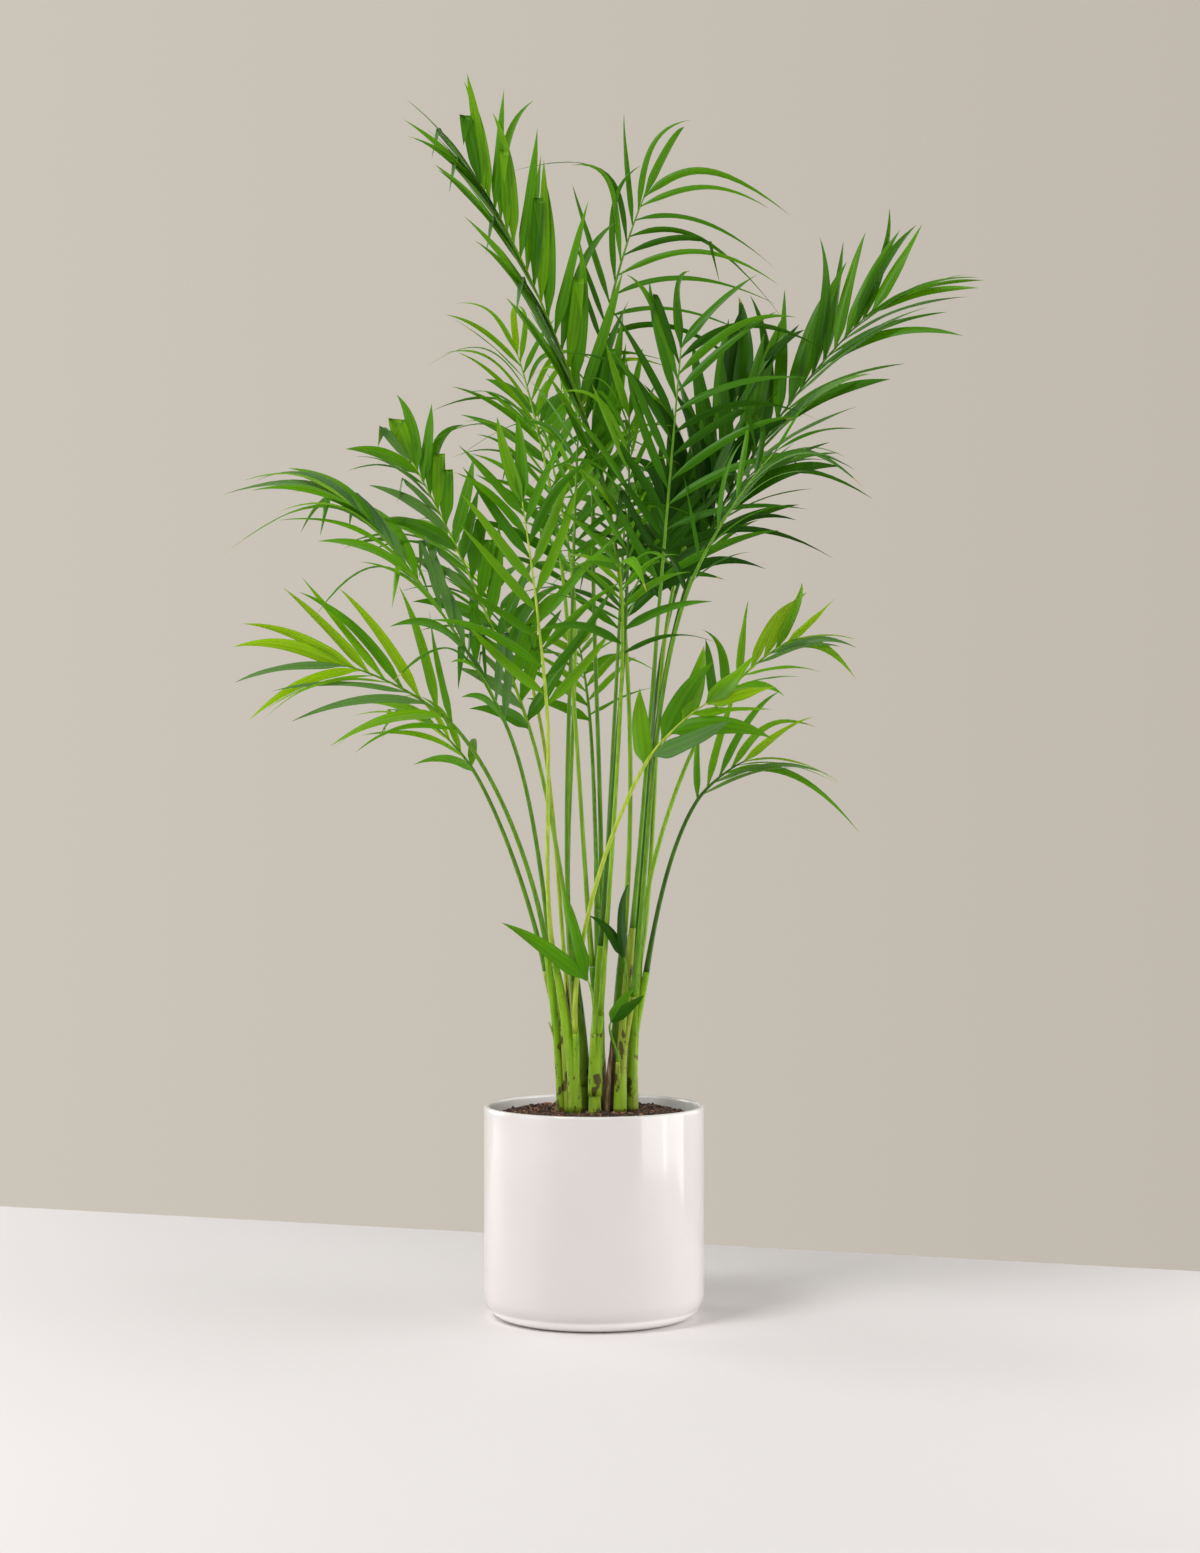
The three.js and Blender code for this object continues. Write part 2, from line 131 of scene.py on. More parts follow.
def stretched(material, along):
    values = {"Vector": object_place(material), "Scale": (1.0, 1.0, along)}
    return add_node(material, "Mapping", values).outputs["Vector"]


def noise_of(material, place, scale, detail):
    values = {"Vector": place, "Scale": scale, "Detail": detail}
    return add_node(material, "TexNoise", values).outputs["Fac"]


def math_of(material, operation, first, second):
    return add_node(material, "Math", {0: first, 1: second}, operation=operation).outputs["Value"]


def range_of(material, value, start, end, at_start=0.0, at_end=1.0):
    values = {"Value": value, "From Min": start, "From Max": end, "To Min": at_start, "To Max": at_end}
    return add_node(material, "MapRange", values).outputs["Result"]


def blend_of(material, factor, first, second, blend_type="MIX"):
    values = {"Factor": factor, "A": first, "B": second}
    return add_node(material, "Mix", values, data_type="RGBA", blend_type=blend_type).outputs["Result"]


def ramp_of(material, factor, stops):
    ramp = add_node(material, "ValToRGB", {"Fac": factor})
    elements = ramp.color_ramp.elements
    while len(elements) < len(stops):
        elements.new(0.5)
    for element, (position, colour) in zip(elements, stops):
        element.position = position
        element.color = (*colour, 1.0)
    return ramp.outputs["Color"]


def paint(material, shader, colour, relief=None, strength=0.0, depth=0.0):
    link(material, colour, shader.inputs["Base Color"])
    if relief:
        values = {"Height": relief, "Strength": strength, "Distance": depth}
        link(material, add_node(material, "Bump", values).outputs["Normal"], shader.inputs["Normal"])


def scaled(colour, factor):
    return tuple(min(1.0, channel * factor) for channel in colour)


print("material helpers ready")

# %% [markdown]
# The room is a pale slab in front of a plain warm grey wall. The slab's back edge runs slightly
# askew behind the pot. A wall could be another plane, but a world of one colour lights the leaves
# evenly from all round as well, so the wall is the world. It is a touch lighter on the left,
# where the window light comes from. A room lights a plant less than its brightest wall would,
# so the world's light is dimmed for everything but the camera's own view of the wall and its
# reflections in the glaze.

# %% Floor and wall
SLAB_EDGE_LEFT = Vector((-0.870, 0.889, 0.0))
SLAB_EDGE_RIGHT = Vector((0.756, 0.316, 0.0))
SLAB_REACH = 1.7
SLAB_COLOUR = (0.755, 0.727, 0.725)
WALL_LEFT = (0.610, 0.560, 0.492)
WALL_RIGHT = (0.535, 0.487, 0.425)
WALL_SPREAD = 0.2
ROOM_LIGHT = 0.16


def object_from(name, bm, materials):
    mesh = bpy.data.meshes.new(name)
    bm.to_mesh(mesh)
    bm.free()
    for material in materials:
        mesh.materials.append(material)
    made = bpy.data.objects.new(name, mesh)
    scene.collection.objects.link(made)
    return made


def make_slab():
    along = (SLAB_EDGE_RIGHT - SLAB_EDGE_LEFT).normalized()
    toward_us = Vector((along.y, -along.x, 0.0))
    middle = (SLAB_EDGE_LEFT + SLAB_EDGE_RIGHT) / 2 + toward_us * SLAB_REACH
    bm = bmesh.new()
    bmesh.ops.create_grid(bm, x_segments=1, y_segments=1, size=SLAB_REACH)
    for vert in bm.verts:
        vert.co = middle + along * vert.co.x - toward_us * vert.co.y
    material, _ = new_material("pale_floor", SLAB_COLOUR, 0.6)
    slab = object_from("floor_slab", bm, [material])


def make_world():
    world = bpy.data.worlds.new("warm_grey_room")
    world.use_nodes = True
    scene.world = world
    background = world.node_tree.nodes["Background"].inputs
    direction = add_node(world, "TexCoord").outputs["Generated"]
    across = range_of(world, parts_of(world, direction)["X"], -WALL_SPREAD, WALL_SPREAD)
    wall = blend_of(world, across, (*WALL_LEFT, 1.0), (*WALL_RIGHT, 1.0))
    link(world, wall, background["Color"])
    seen = add_node(world, "LightPath").outputs
    looked_at = math_of(world, "MAXIMUM", seen["Is Camera Ray"], seen["Is Glossy Ray"])
    strength = range_of(world, looked_at, 0.0, 1.0, at_start=ROOM_LIGHT)
    link(world, strength, background["Strength"])


make_slab()
make_world()
print("slab edge runs", round((SLAB_EDGE_RIGHT - SLAB_EDGE_LEFT).length, 2), "m across the view")

# %% [markdown]
# Studio light for a glossy plant is large and soft. Each panel aims at a height on the pot's axis.
# A big one stands high to the left, and throws the pot's soft shadow to the right and back. The
# panels at the sides and at the back brighten the pot's edges and shine through the leaflets, and
# the band panel to our right draws the bright band down the glaze. A weak one overhead brings out
# the tops of the leaflets, and one beside the camera fills the shadows among the canes.

# %% Lights
def add_panel(name, place, aim_height, width, height, watts):
    data = bpy.data.lights.new(name, "AREA")
    data.shape = "RECTANGLE"
    data.size = width
    data.size_y = height
    data.energy = watts
    panel = bpy.data.objects.new(name, data)
    panel.location = place
    direction = Vector((0.0, 0.0, aim_height)) - Vector(place)
    panel.rotation_euler = direction.to_track_quat("-Z", "Y").to_euler()
    scene.collection.objects.link(panel)


add_panel("window_panel", (-1.5, -1.6, 3.0), 0.3, 1.0, 1.0, 68.0)
add_panel("left_panel", (-2.15, -1.05, 0.9), 0.5, 1.5, 1.8, 20.0)
add_panel("band_panel", (1.95, -0.95, 0.6), 0.4, 1.2, 1.8, 24.0)
add_panel("right_panel", (2.2, 0.0, 0.6), 0.4, 1.2, 1.6, 19.0)
add_panel("right_back_panel", (2.0, 1.2, 0.8), 0.4, 1.2, 1.6, 12.0)
add_panel("left_back_panel", (-2.0, 1.2, 0.8), 0.4, 1.2, 1.6, 26.0)
add_panel("top_panel", (-0.1, 0.3, 3.2), 0.6, 2.2, 2.2, 6.0)
add_panel("front_fill", (0.5, -3.3, 1.8), 0.5, 1.6, 1.2, 17.0)

# %% [markdown]
# The palm's own sizes come next, in millimetres, as a grower would measure it. Each cane has a
# foot on the soil, a top and a radius. Each frond has a cane, the height where it leaves the
# cane's side (unless it grows from the top), its knee, where the lowest leaflets sit, and the
# tip of its rib. It leans toward its facing and rolls about its rib. Its leaflets have a length
# and a width, or two widths where they differ at knee and tip. They have a sweep away from the
# rib at knee and tip, a rise out of the frond's plane, and a sag for each row. Their green, at
# knee and tip, runs from 0, the deepest, to 5, fresh lime. The last values say how much wider
# one row sweeps, how far the tips fall over, what share is bent sharply, how far each row's
# blades are turned on edge, and how thick the stalk is. A frond that names none of these has
# the usual ones.

# %% Canes and fronds by their sizes
MM = 0.001
SOIL_TOP = 238
GAP = 0.3
CANES = [
    {"foot": foot, "top": top, "radius": radius}
    for foot, top, radius in (
        ((-38, -20), (-54, -30, 424), 5),
        ((-33, 12), (-50, 12, 425), 7),
        ((-21, -32), (-44, -46, 410), 6.4),
        ((-10, 6), (-28, 8, 440), 6),
        ((1, -31), (8, -40, 430), 6.8),
        ((8, -9), (4, -8, 470), 5.6),
        ((30, -26), (44, -36, 450), 6.4),
        ((43, -7), (53, -4, 430), 6.6),
        ((23, 9), (35, 12, 440), 6.6),
        ((-17, 33), (-28, 48, 420), 6),
        ((5, 27), (8, 40, 460), 6),
        ((31, 31), (46, 42, 430), 6.2),
    )
]


def frond(name, cane, foot, knee, tip, lean, pairs, leaf, sweep, rise, sag, green, **habits):
    return {
        "name": name, "cane": cane, "foot": foot, "knee": Vector(knee), "tip": Vector(tip),
        "facing": math.radians(lean[0]), "roll": math.radians(lean[1]), "pairs": pairs,
        "leaf": leaf, "sweep": sweep, "rise": rise, "sag": sag, "green": green, "skew": 0,
        "fall": 0.25, "folded": 0.04, "twist": (0, 0), "size": 1.0, **habits,
    }


STIFF = {"fall": 0.05, "folded": 0.0}
SMALL = {"size": 0.62, **STIFF}
FRONDS = [
    frond("frond_top_left", 9, None, (14, 0, 950), (-130, -30, 1302), (180, 52), 22,
          (156, 16, 13), (26, 21), 36, (0.3, 0.03), (2.6, 3.4), skew=9, fall=0.09, folded=0.15,
          twist=(18, 0)),
    frond("frond_top_middle", 11, None, (10, 60, 1130), (59, 60, 1304), (90, 0), 9,
          (150, 7.5), (40, 32), 8, (0.15, 0.6), (1.6, 2.4), skew=12, fall=0.5),
    frond("frond_upper_right", 7, None, (76, -60, 840), (99, -60, 1110), (90, 0), 12,
          (152, 10), (48, 32), 8, (0.04, 0.4), (0.8, 2), skew=8, fall=0.2),
    frond("frond_right", 12, None, (118, 20, 873), (326, 40, 1168), (0, -52), 18,
          (154, 24, 12), (35, 24), 36, (0.02, 0.4), (0.6, 3.2), fall=0.08, twist=(0, -16)),
    frond("frond_right_upright", 12, 395, (92, 50, 840), (170, 60, 1070), (0, -52), 9,
          (140, 22), (34, 24), 36, (0.02, 0.3), (0.2, 1.4), fall=0.05),
    frond("frond_right_front", 7, 370, (104, -100, 827), (203, -100, 987), (0, -40), 6,
          (112, 7), (40, 26), 22, (0.12, 0.4), (1, 2.2), fall=0.3, twist=(0, -16)),
    frond("frond_right_inner", 9, 380, (76, 0, 830), (85, 0, 930), (90, 0), 6,
          (110, 15), (48, 28), 15, (0.2, 0.2), (0, 1), folded=0.2),
    frond("frond_front_left", 3, None, (-53, -90, 704), (-80, -110, 930), (-90, 0), 9,
          (124, 12), (54, 24), 5, (0.08, 0.08), (3.5, 3.1), fall=0.08, folded=0.0),
    frond("frond_left_arch", 2, None, (-99, -40, 679), (-266, -60, 923), (180, 20), 15,
          (152, 12, 15), (46, 18), 24, (0.5, 0.75), (1.9, 3.2), fall=0.4, folded=0.22),
    frond("frond_left_back", 4, None, (-75, 20, 679), (-212, 30, 990), (180, 55), 16,
          (110, 16), (44, 30), 28, (0.4, 0.15), (2, 3), fall=0.15, folded=0.4),
    frond("frond_low_left", 1, None, (-155, -60, 676), (-281, -80, 748), (180, 58), 8,
          (145, 12), (40, 20), 28, (0.35, 0.04), (3.4, 5), fall=0.12),
    frond("frond_low_right", 8, None, (142, 20, 704), (226, 20, 780), (0, -50), 7,
          (98, 12), (46, 26), 25, (0.05, 0.2), (3.4, 5)),
    frond("frond_low_front", 3, 330, (58, -90, 637), (128, -90, 706), (0, -60), 4,
          (98, 23), (46, 22), 10, (0.05, 0.15), (3.8, 4.4), **STIFF),
    frond("frond_lowest_right", 8, 395, (119, -20, 596), (172, -20, 640), (0, -50), 5,
          (122, 9), (44, 16), 25, (0.05, 0.45), (3.2, 4.6)),
    frond("frond_low_left_back", 2, 395, (-140, 50, 628), (-190, 60, 684), (180, 20), 5,
          (115, 10.5), (47, 22), 15, (0.6, 0.6), (3.2, 4.4), fall=0.3),
    frond("frond_back_high", 10, None, (-25, 110, 850), (-70, 250, 1070), (105, 0), 11,
          (135, 13), (54, 26), 15, (0.2, 0.2), (1.4, 2.6)),
    frond("frond_back", 11, 380, (30, 130, 800), (40, 320, 980), (80, 0), 11,
          (130, 13), (54, 26), 15, (0.25, 0.25), (1.4, 2.6)),
    frond("frond_back_right", 12, 350, (100, 120, 850), (210, 260, 1010), (50, 0), 11,
          (130, 13), (54, 26), 15, (0.25, 0.25), (0.8, 2.2)),
    frond("frond_back_left", 10, 345, (-80, 110, 750), (-190, 240, 920), (135, 0), 11,
          (130, 13), (54, 26), 15, (0.25, 0.25), (1.6, 2.8)),
    frond("frond_low_back", 6, None, (-5, 120, 690), (-20, 250, 790), (95, 0), 8,
          (100, 12), (52, 24), 15, (0.2, 0.2), (3, 4)),
    frond("frond_front", 5, 350, (32, -115, 760), (28, -245, 850), (-90, 0), 6,
          (108, 10), (54, 26), 15, (0.3, 0.3), (2.2, 3), fall=0.25),
    frond("frond_heart_right", 5, None, (36, -60, 800), (40, -60, 1030), (-40, 0), 12,
          (124, 7), (50, 26), 15, (0.15, 0.15), (2.2, 3.7), fall=0.4),
    frond("frond_heart", 4, 385, (-24, -10, 850), (-16, 0, 1060), (-120, 0), 12,
          (128, 7), (50, 26), 15, (0.15, 0.15), (2.2, 3.7), fall=0.4),
    frond("frond_heart_left", 6, 400, (-46, 35, 930), (-90, 70, 1120), (160, 30), 11,
          (125, 7), (50, 30), 10, (0.25, 0.25), (2.4, 3.8), fall=0.4),
    frond("small_leaf_front", 5, 330, (-4, -62, 385), (-8, -64, 393), (90, 0), 1,
          (150, 14), (20, 20), 5, (0, 0), (3, 3), skew=3, **SMALL),
    frond("small_leaf_right", 7, 350, (36, -60, 410), (34, -61, 418), (90, 0), 1,
          (120, 10), (20, 20), 5, (0, 0.1), (1, 1), **SMALL),
    frond("small_leaf_low", 7, 300, (18, -58, 340), (20, -60, 345), (90, 0), 1,
          (60, 11), (20, 20), 5, (0.1, 0.1), (2, 2), **SMALL),
]
print("canes:", len(CANES), "fronds:", len(FRONDS))

# %% [markdown]
# A palm grows by a rule, and this is the rule that the solids in the frame follow too. Every
# middle line is one smooth curve from a place and a heading to another place and heading. We
# could draw each stalk by hand, but a rule keeps the fine fronds exactly where the solid ones
# are. Chance comes from a fixed sequence, so that the palm is the same palm every time.

# %% The growing rule
BENDINESS = 0.85
PATH_STEP = 0.001
UP = Vector((0.0, 0.0, 1.0))
RIGHT = Vector((1.0, 0.0, 0.0))


def mix(a, b, share):
    return a + (b - a) * share


def chance(key):
    modulus = 2147483647
    factor = 48271
    stride = 7919
    offset = 12345
    state = (key * stride + offset) % modulus
    for _ in range(3):
        state = (state * factor) % modulus
    return 2 * state / modulus - 1


def arc(start, start_heading, end, end_heading, share):
    squared = share * share
    cubed = squared * share
    reach = (end - start).length * BENDINESS
    point = start * (2 * cubed - 3 * squared + 1)
    point += start_heading * (reach * (cubed - 2 * squared + share))
    point += end * (3 * squared - 2 * cubed)
    return point + end_heading * (reach * (cubed - squared))


def frame_of(path, share, side_hint):
    before = path(max(share - PATH_STEP, 0.0))
    after = path(min(share + PATH_STEP, 1.0))
    heading = (after - before).normalized()
    side = (side_hint - heading * side_hint.dot(heading)).normalized()
    return path(share), heading, side, side.cross(heading)


print("chance gives", [round(chance(key), 2) for key in range(4)])

# %% [markdown]
# The canes rise from the soil and lean outward as they go. A frond grows either from a cane's
# top or from a sheath that hugs the cane's side and then opens, so we work out that seat first.

# %% Canes, seats and stalks as curves
FOOT_SWELLING = 1.14
TOP_SHARE = 0.8
CANE_CURL = 1.5
SHEATH_LENGTH = 95
SIDE_LEAN = 0.09
FOOT_RADIUS = 3.6
STALK_START = 0.12
STALK_RADIUS = 2.7
KNEE_RADIUS = 2.1
TIP_RADIUS = 0.8
CLEARANCE = 0.5


def cane_path(cane):
    foot = Vector((*cane["foot"], SOIL_TOP + GAP))
    top = Vector(cane["top"])
    lean = top - foot
    lean.z = 0.0
    top_heading = lean * (CANE_CURL / (top.z - foot.z)) + UP
    return lambda share: arc(foot, UP, top, top_heading, share)


def cane_radius(cane, share):
    return cane["radius"] * mix(FOOT_SWELLING, TOP_SHARE, math.sqrt(share))


def cane_at(cane, height):
    foot = SOIL_TOP + GAP
    share = (height - foot) / (cane["top"][2] - foot)
    at, heading, _, _ = frame_of(cane_path(cane), share, RIGHT)
    return share, at, heading


def seat_of(one):
    cane = CANES[one["cane"] - 1]
    if one["foot"] is None:
        _, at, heading = cane_at(cane, cane["top"][2])
        return at, heading, Vector()
    share, at, heading = cane_at(cane, one["foot"])
    away = one["knee"] - at
    away.z = 0.0
    away.normalize()
    offset = cane_radius(cane, share) + FOOT_RADIUS + 2 * CLEARANCE
    return at + away * offset, (heading + away * SIDE_LEAN).normalized(), away


def rib_path(one):
    seat, seat_heading, _ = seat_of(one)
    foot = seat + seat_heading * GAP
    knee = one["knee"]
    tip = one["tip"]
    reach = (tip - knee).normalized()
    knee_heading = ((knee - foot).normalized() + reach).normalized()
    tip_heading = (reach * 2 - knee_heading).normalized()

    def path(share):
        if share < 0.5:
            return arc(foot, seat_heading, knee, knee_heading, 2 * share)
        return arc(knee, knee_heading, tip, tip_heading, 2 * share - 1)

    return path


def rib_radius(one, share):
    size = one["size"]
    if share < STALK_START:
        return size * mix(FOOT_RADIUS, STALK_RADIUS, share / STALK_START)
    if share < 0.5:
        return size * mix(STALK_RADIUS, KNEE_RADIUS, (share - STALK_START) / (0.5 - STALK_START))
    return size * mix(KNEE_RADIUS, TIP_RADIUS, 2 * share - 1)


def across_of(one):
    return Vector((math.sin(one["facing"]), -math.cos(one["facing"]), 0.0))


print("longest cane", max(cane["top"][2] for cane in CANES) - SOIL_TOP, "mm above the soil")

# %% [markdown]
# Ribs, canes and sheaths are all rods that taper and bend. A curve with a round bevel could
# draw them, but a bmesh lets us shape each ring: the cone operator makes a straight rod, we cut
# it into rings with subdivide, and carry every ring to its place on the path.

# %% A bent rod
def add_rod(bm, path, side_hint, radius_at, sides, rings, slot=0, slant=None):
    first = len(bm.verts)
    first_face = len(bm.faces)
    bmesh.ops.create_cone(
        bm, cap_ends=True, cap_tris=False, segments=sides, radius1=1.0, radius2=1.0, depth=1.0
    )
    bm.verts.ensure_lookup_table()
    rod = bm.verts[first:]
    long_edges = {
        edge for vert in rod for edge in vert.link_edges
        if abs(edge.verts[0].co.z - edge.verts[1].co.z) > 0.5
    }
    bmesh.ops.subdivide_edges(bm, edges=list(long_edges), cuts=rings - 1)
    bm.verts.ensure_lookup_table()
    bm.faces.ensure_lookup_table()
    frames = {}
    for vert in bm.verts[first:]:
        share = round(vert.co.z + 0.5, 5)
        if share not in frames:
            frames[share] = frame_of(path, share, side_hint)
        at, heading, side, face = frames[share]
        radius = radius_at(share)
        place = at + side * (vert.co.x * radius) + face * (vert.co.y * radius)
        if slant:
            place += heading * slant(share, math.atan2(vert.co.y, vert.co.x))
        vert.co = place * MM
    for patch in bm.faces[first_face:]:
        patch.material_index = slot


print("rods are cut into rings and bent")

# %% [markdown]
# Each finished bmesh becomes a piece: a mesh object at the origin that rides on the one body and
# stands in for the solids it is given. One helper does this for all of them and prints how many
# triangles each piece has.

# %% From bmesh to piece
def make_piece(name, bm, materials, stands_for=()):
    bmesh.ops.recalc_face_normals(bm, faces=bm.faces)
    piece = object_from(name, bm, materials)
    piece.data.shade_smooth()
    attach(piece, "root")
    if stands_for:
        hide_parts(*stands_for)
    triangles = sum(len(patch.vertices) - 2 for patch in piece.data.polygons)
    print(f"{name}: {triangles} triangles")


# %% [markdown]
# The pot is a straight cylinder of white ceramic with a rounded foot and a thin round rim. The
# solid has forty flat sides, which would show. A pot is thrown on a wheel, so we draw one half
# of its cross-section and spin it. Extra rings next to the round corners keep the wall's shading
# straight right up to them. A full spin leaves its faces in an order that changes from run to
# run, so points and faces are put in order by their place.

# %% Pot shape
POT_RADIUS = 127
POT_HEIGHT = 244
POT_WALL = 6
POT_FLOOR = 8
POT_FOOT_ROUND = 28
POT_RIM_ROUND = 2.4
SUPPORT_RING = 3
SPIN_STEPS = 128


def quarter(centre_x, centre_z, radius, start, end, steps):
    angles = [math.radians(mix(start, end, step / steps)) for step in range(steps + 1)]
    return [(centre_x + radius * math.cos(a), centre_z + radius * math.sin(a)) for a in angles]


def order_by_place(elements, place):
    def key(element):
        x, y, z = place(element)
        return round(z, 6), round(y, 6), round(x, 6)

    for rank, element in enumerate(sorted(elements, key=key)):
        element.index = rank
    elements.sort()


def spin_profile(profile):
    bm = bmesh.new()
    verts = [bm.verts.new((x * MM, 0.0, z * MM)) for x, z in profile]
    edges = [bm.edges.new(pair) for pair in zip(verts, verts[1:])]
    bmesh.ops.spin(
        bm, geom=verts + edges, cent=(0, 0, 0), axis=(0, 0, 1), dvec=(0, 0, 0),
        angle=math.tau, steps=SPIN_STEPS, use_merge=True, use_duplicate=False,
    )
    bmesh.ops.remove_doubles(bm, verts=bm.verts, dist=1e-6)
    order_by_place(bm.verts, lambda vert: vert.co)
    order_by_place(bm.faces, lambda patch: patch.calc_center_median())
    return bm


def pot_profile():
    inner = POT_RADIUS - POT_WALL
    inner_round = POT_FOOT_ROUND - POT_WALL
    rim = POT_HEIGHT - POT_RIM_ROUND
    flat = POT_RADIUS - POT_FOOT_ROUND
    return [
        (0, 0), (flat - SUPPORT_RING, 0),
        *quarter(flat, POT_FOOT_ROUND, POT_FOOT_ROUND, -90, 0, 14),
        (POT_RADIUS, POT_FOOT_ROUND + SUPPORT_RING), (POT_RADIUS, rim - SUPPORT_RING),
        *quarter(POT_RADIUS - POT_RIM_ROUND, rim, POT_RIM_ROUND, 0, 90, 6),
        *quarter(inner + POT_RIM_ROUND, rim, POT_RIM_ROUND, 90, 180, 6),
        (inner, rim - SUPPORT_RING), (inner, POT_FLOOR + inner_round + SUPPORT_RING),
        *quarter(inner - inner_round, POT_FLOOR + inner_round, inner_round, 0, -90, 8),
        (0, POT_FLOOR),
    ]


pot_bmesh = spin_profile(pot_profile())
print("pot rings:", len(pot_profile()), "steps round:", SPIN_STEPS)

# %% [markdown]
# The glaze is satin: it shows soft upright bands of light but no sharp picture of the room. A mid
# roughness under a thin, smoother coat gives that. Faint, wide noise in the bump keeps the bands from
# looking ruled, and another lets the white drift a little. The inside wall is painted much whiter than
# the outside: painted light, so that it still looks white in the shade of the leaves and canes. How far
# a point lies from the pot's axis tells the inside from the outside. The underside, which never shows,
# goes with the inside.

# %% Pot finish
GLAZE = (0.67, 0.63, 0.62)
GLAZE_SHADED = (0.655, 0.618, 0.608)
GLAZE_PALE = (0.685, 0.648, 0.638)
GLAZE_INSIDE_PAINTED_LIGHT = (0.95, 0.925, 0.915)
PAINTED_LIGHT_EDGE = 0.5


def glaze_material():
    material, shader = new_material("satin_white_glaze", GLAZE, 0.4, gloss=0.25)
    place = object_place(material)
    drift = noise_of(material, place, 9.0, 2.0)
    outer = ramp_of(material, drift, [(0.3, GLAZE_SHADED), (0.7, GLAZE_PALE)])
    level = add_node(material, "VectorMath", {0: place, 1: (1.0, 1.0, 0.0)}, operation="MULTIPLY")
    radius = add_node(material, "VectorMath", {0: level.outputs["Vector"]}, operation="LENGTH")
    # Inside the wall the colour is painted light: far whiter than the outer glaze, against the shade of
    # the leaves and canes.
    inner_edge = (POT_RADIUS - POT_WALL + PAINTED_LIGHT_EDGE) * MM
    rim_top = (POT_RADIUS - POT_WALL + POT_RIM_ROUND) * MM
    outward = range_of(material, radius.outputs["Value"], inner_edge, rim_top)
    colour = blend_of(material, outward, (*GLAZE_INSIDE_PAINTED_LIGHT, 1.0), outer)
    paint(material, shader, colour, noise_of(material, place, 28.0, 1.0), 0.06, 0.002)
    shader.inputs["Coat Weight"].default_value = 0.9
    shader.inputs["Coat Roughness"].default_value = 0.08
    return material


make_piece("pot_glazed", pot_bmesh, [glaze_material()], ["pot"])

# %% [markdown]
# The soil is a dark mix of peat and bark. Seen from the front only its far side shows behind
# the rim, but from above it shows whole, so it gets a real surface: the same spun shape as the
# solid, with every vertex of its top raised or lowered a little by two smooth noises, one for
# wide lumps and one for crumbs.

# %% Soil bed
SOIL_EDGE = 230
SOIL_FLAT = 85
SOIL_RING = 4
SOIL_RIPPLE = 1.8
LUMPS_PER_MM = 0.045
CRUMBS_PER_MM = 0.21
CRUMB_SHARE = 0.8
SOIL_BROWNS = [
    (0.0, (0.012, 0.007, 0.005)), (0.45, (0.035, 0.018, 0.012)),
    (0.8, (0.085, 0.042, 0.024)), (1.0, (0.20, 0.095, 0.05)),
]


def soil_level(from_axis, edge):
    slope = max(0.0, (from_axis - SOIL_FLAT) / (edge - SOIL_FLAT))
    return mix(SOIL_TOP, SOIL_EDGE, slope)


def soil_profile():
    radius = POT_RADIUS - POT_WALL - GAP
    corner = POT_FOOT_ROUND - POT_WALL - GAP
    bottom = POT_FLOOR + GAP
    rings = int(radius / SOIL_RING)
    inward = [radius * (1 - ring / rings) for ring in range(rings + 1)]
    top = [(x, soil_level(x, radius)) for x in inward]
    return [(0, bottom), *quarter(radius - corner, bottom + corner, corner, -90, 0, 6), *top]


def soil_ripple(x, y):
    lumps = noise.noise(Vector((x * LUMPS_PER_MM, y * LUMPS_PER_MM, 3.1)))
    crumbs = noise.noise(Vector((x * CRUMBS_PER_MM, y * CRUMBS_PER_MM, 7.7)))
    return SOIL_RIPPLE * (lumps + CRUMB_SHARE * crumbs)


def soil_material():
    material, shader = new_material("peat_and_bark", (0.035, 0.02, 0.014), 0.92)
    values = {"Vector": object_place(material), "Scale": 420.0}
    grains = add_node(material, "TexVoronoi", values).outputs
    shade = add_node(material, "SeparateColor", {"Color": grains["Color"]}).outputs["Red"]
    paint(material, shader, ramp_of(material, shade, SOIL_BROWNS), grains["Distance"], 1.0, 0.002)
    return material


soil_bmesh = spin_profile(soil_profile())
for vert in soil_bmesh.verts:
    if vert.co.z > (SOIL_EDGE - 1) * MM and vert.co.xy.length < (POT_RADIUS - POT_WALL - 1) * MM:
        vert.co.z += soil_ripple(vert.co.x / MM, vert.co.y / MM) * MM
make_piece("soil_bed", soil_bmesh, [soil_material()], ["soil"])

# %% [markdown]
# Bark chips and peat crumbs lie loose on the bed. A particle system could scatter them, but
# the export keeps only real meshes, so each chip is a small cube, stretched, turned and moved by
# seeded chance, and all of them are one mesh. Three browns, each with a fine woody grain, keep
# them apart from the bed.

# %% Soil chips
CHIP_COUNT = 1500
CHIP_SIZE = (1.2, 3.6)
CHIP_STRETCH = (1.0, 2.2)
CHIP_SKEW = 0.3
CHIP_LIFT = 0.3
CHIP_UPRIGHT = 2.5
CHIP_MARGIN = 4
CHIP_SHARES = (5, 4, 2)
CHIP_BROWNS = [(0.022, 0.012, 0.008), (0.085, 0.038, 0.021), (0.24, 0.11, 0.055)]
dice = random.Random(5)


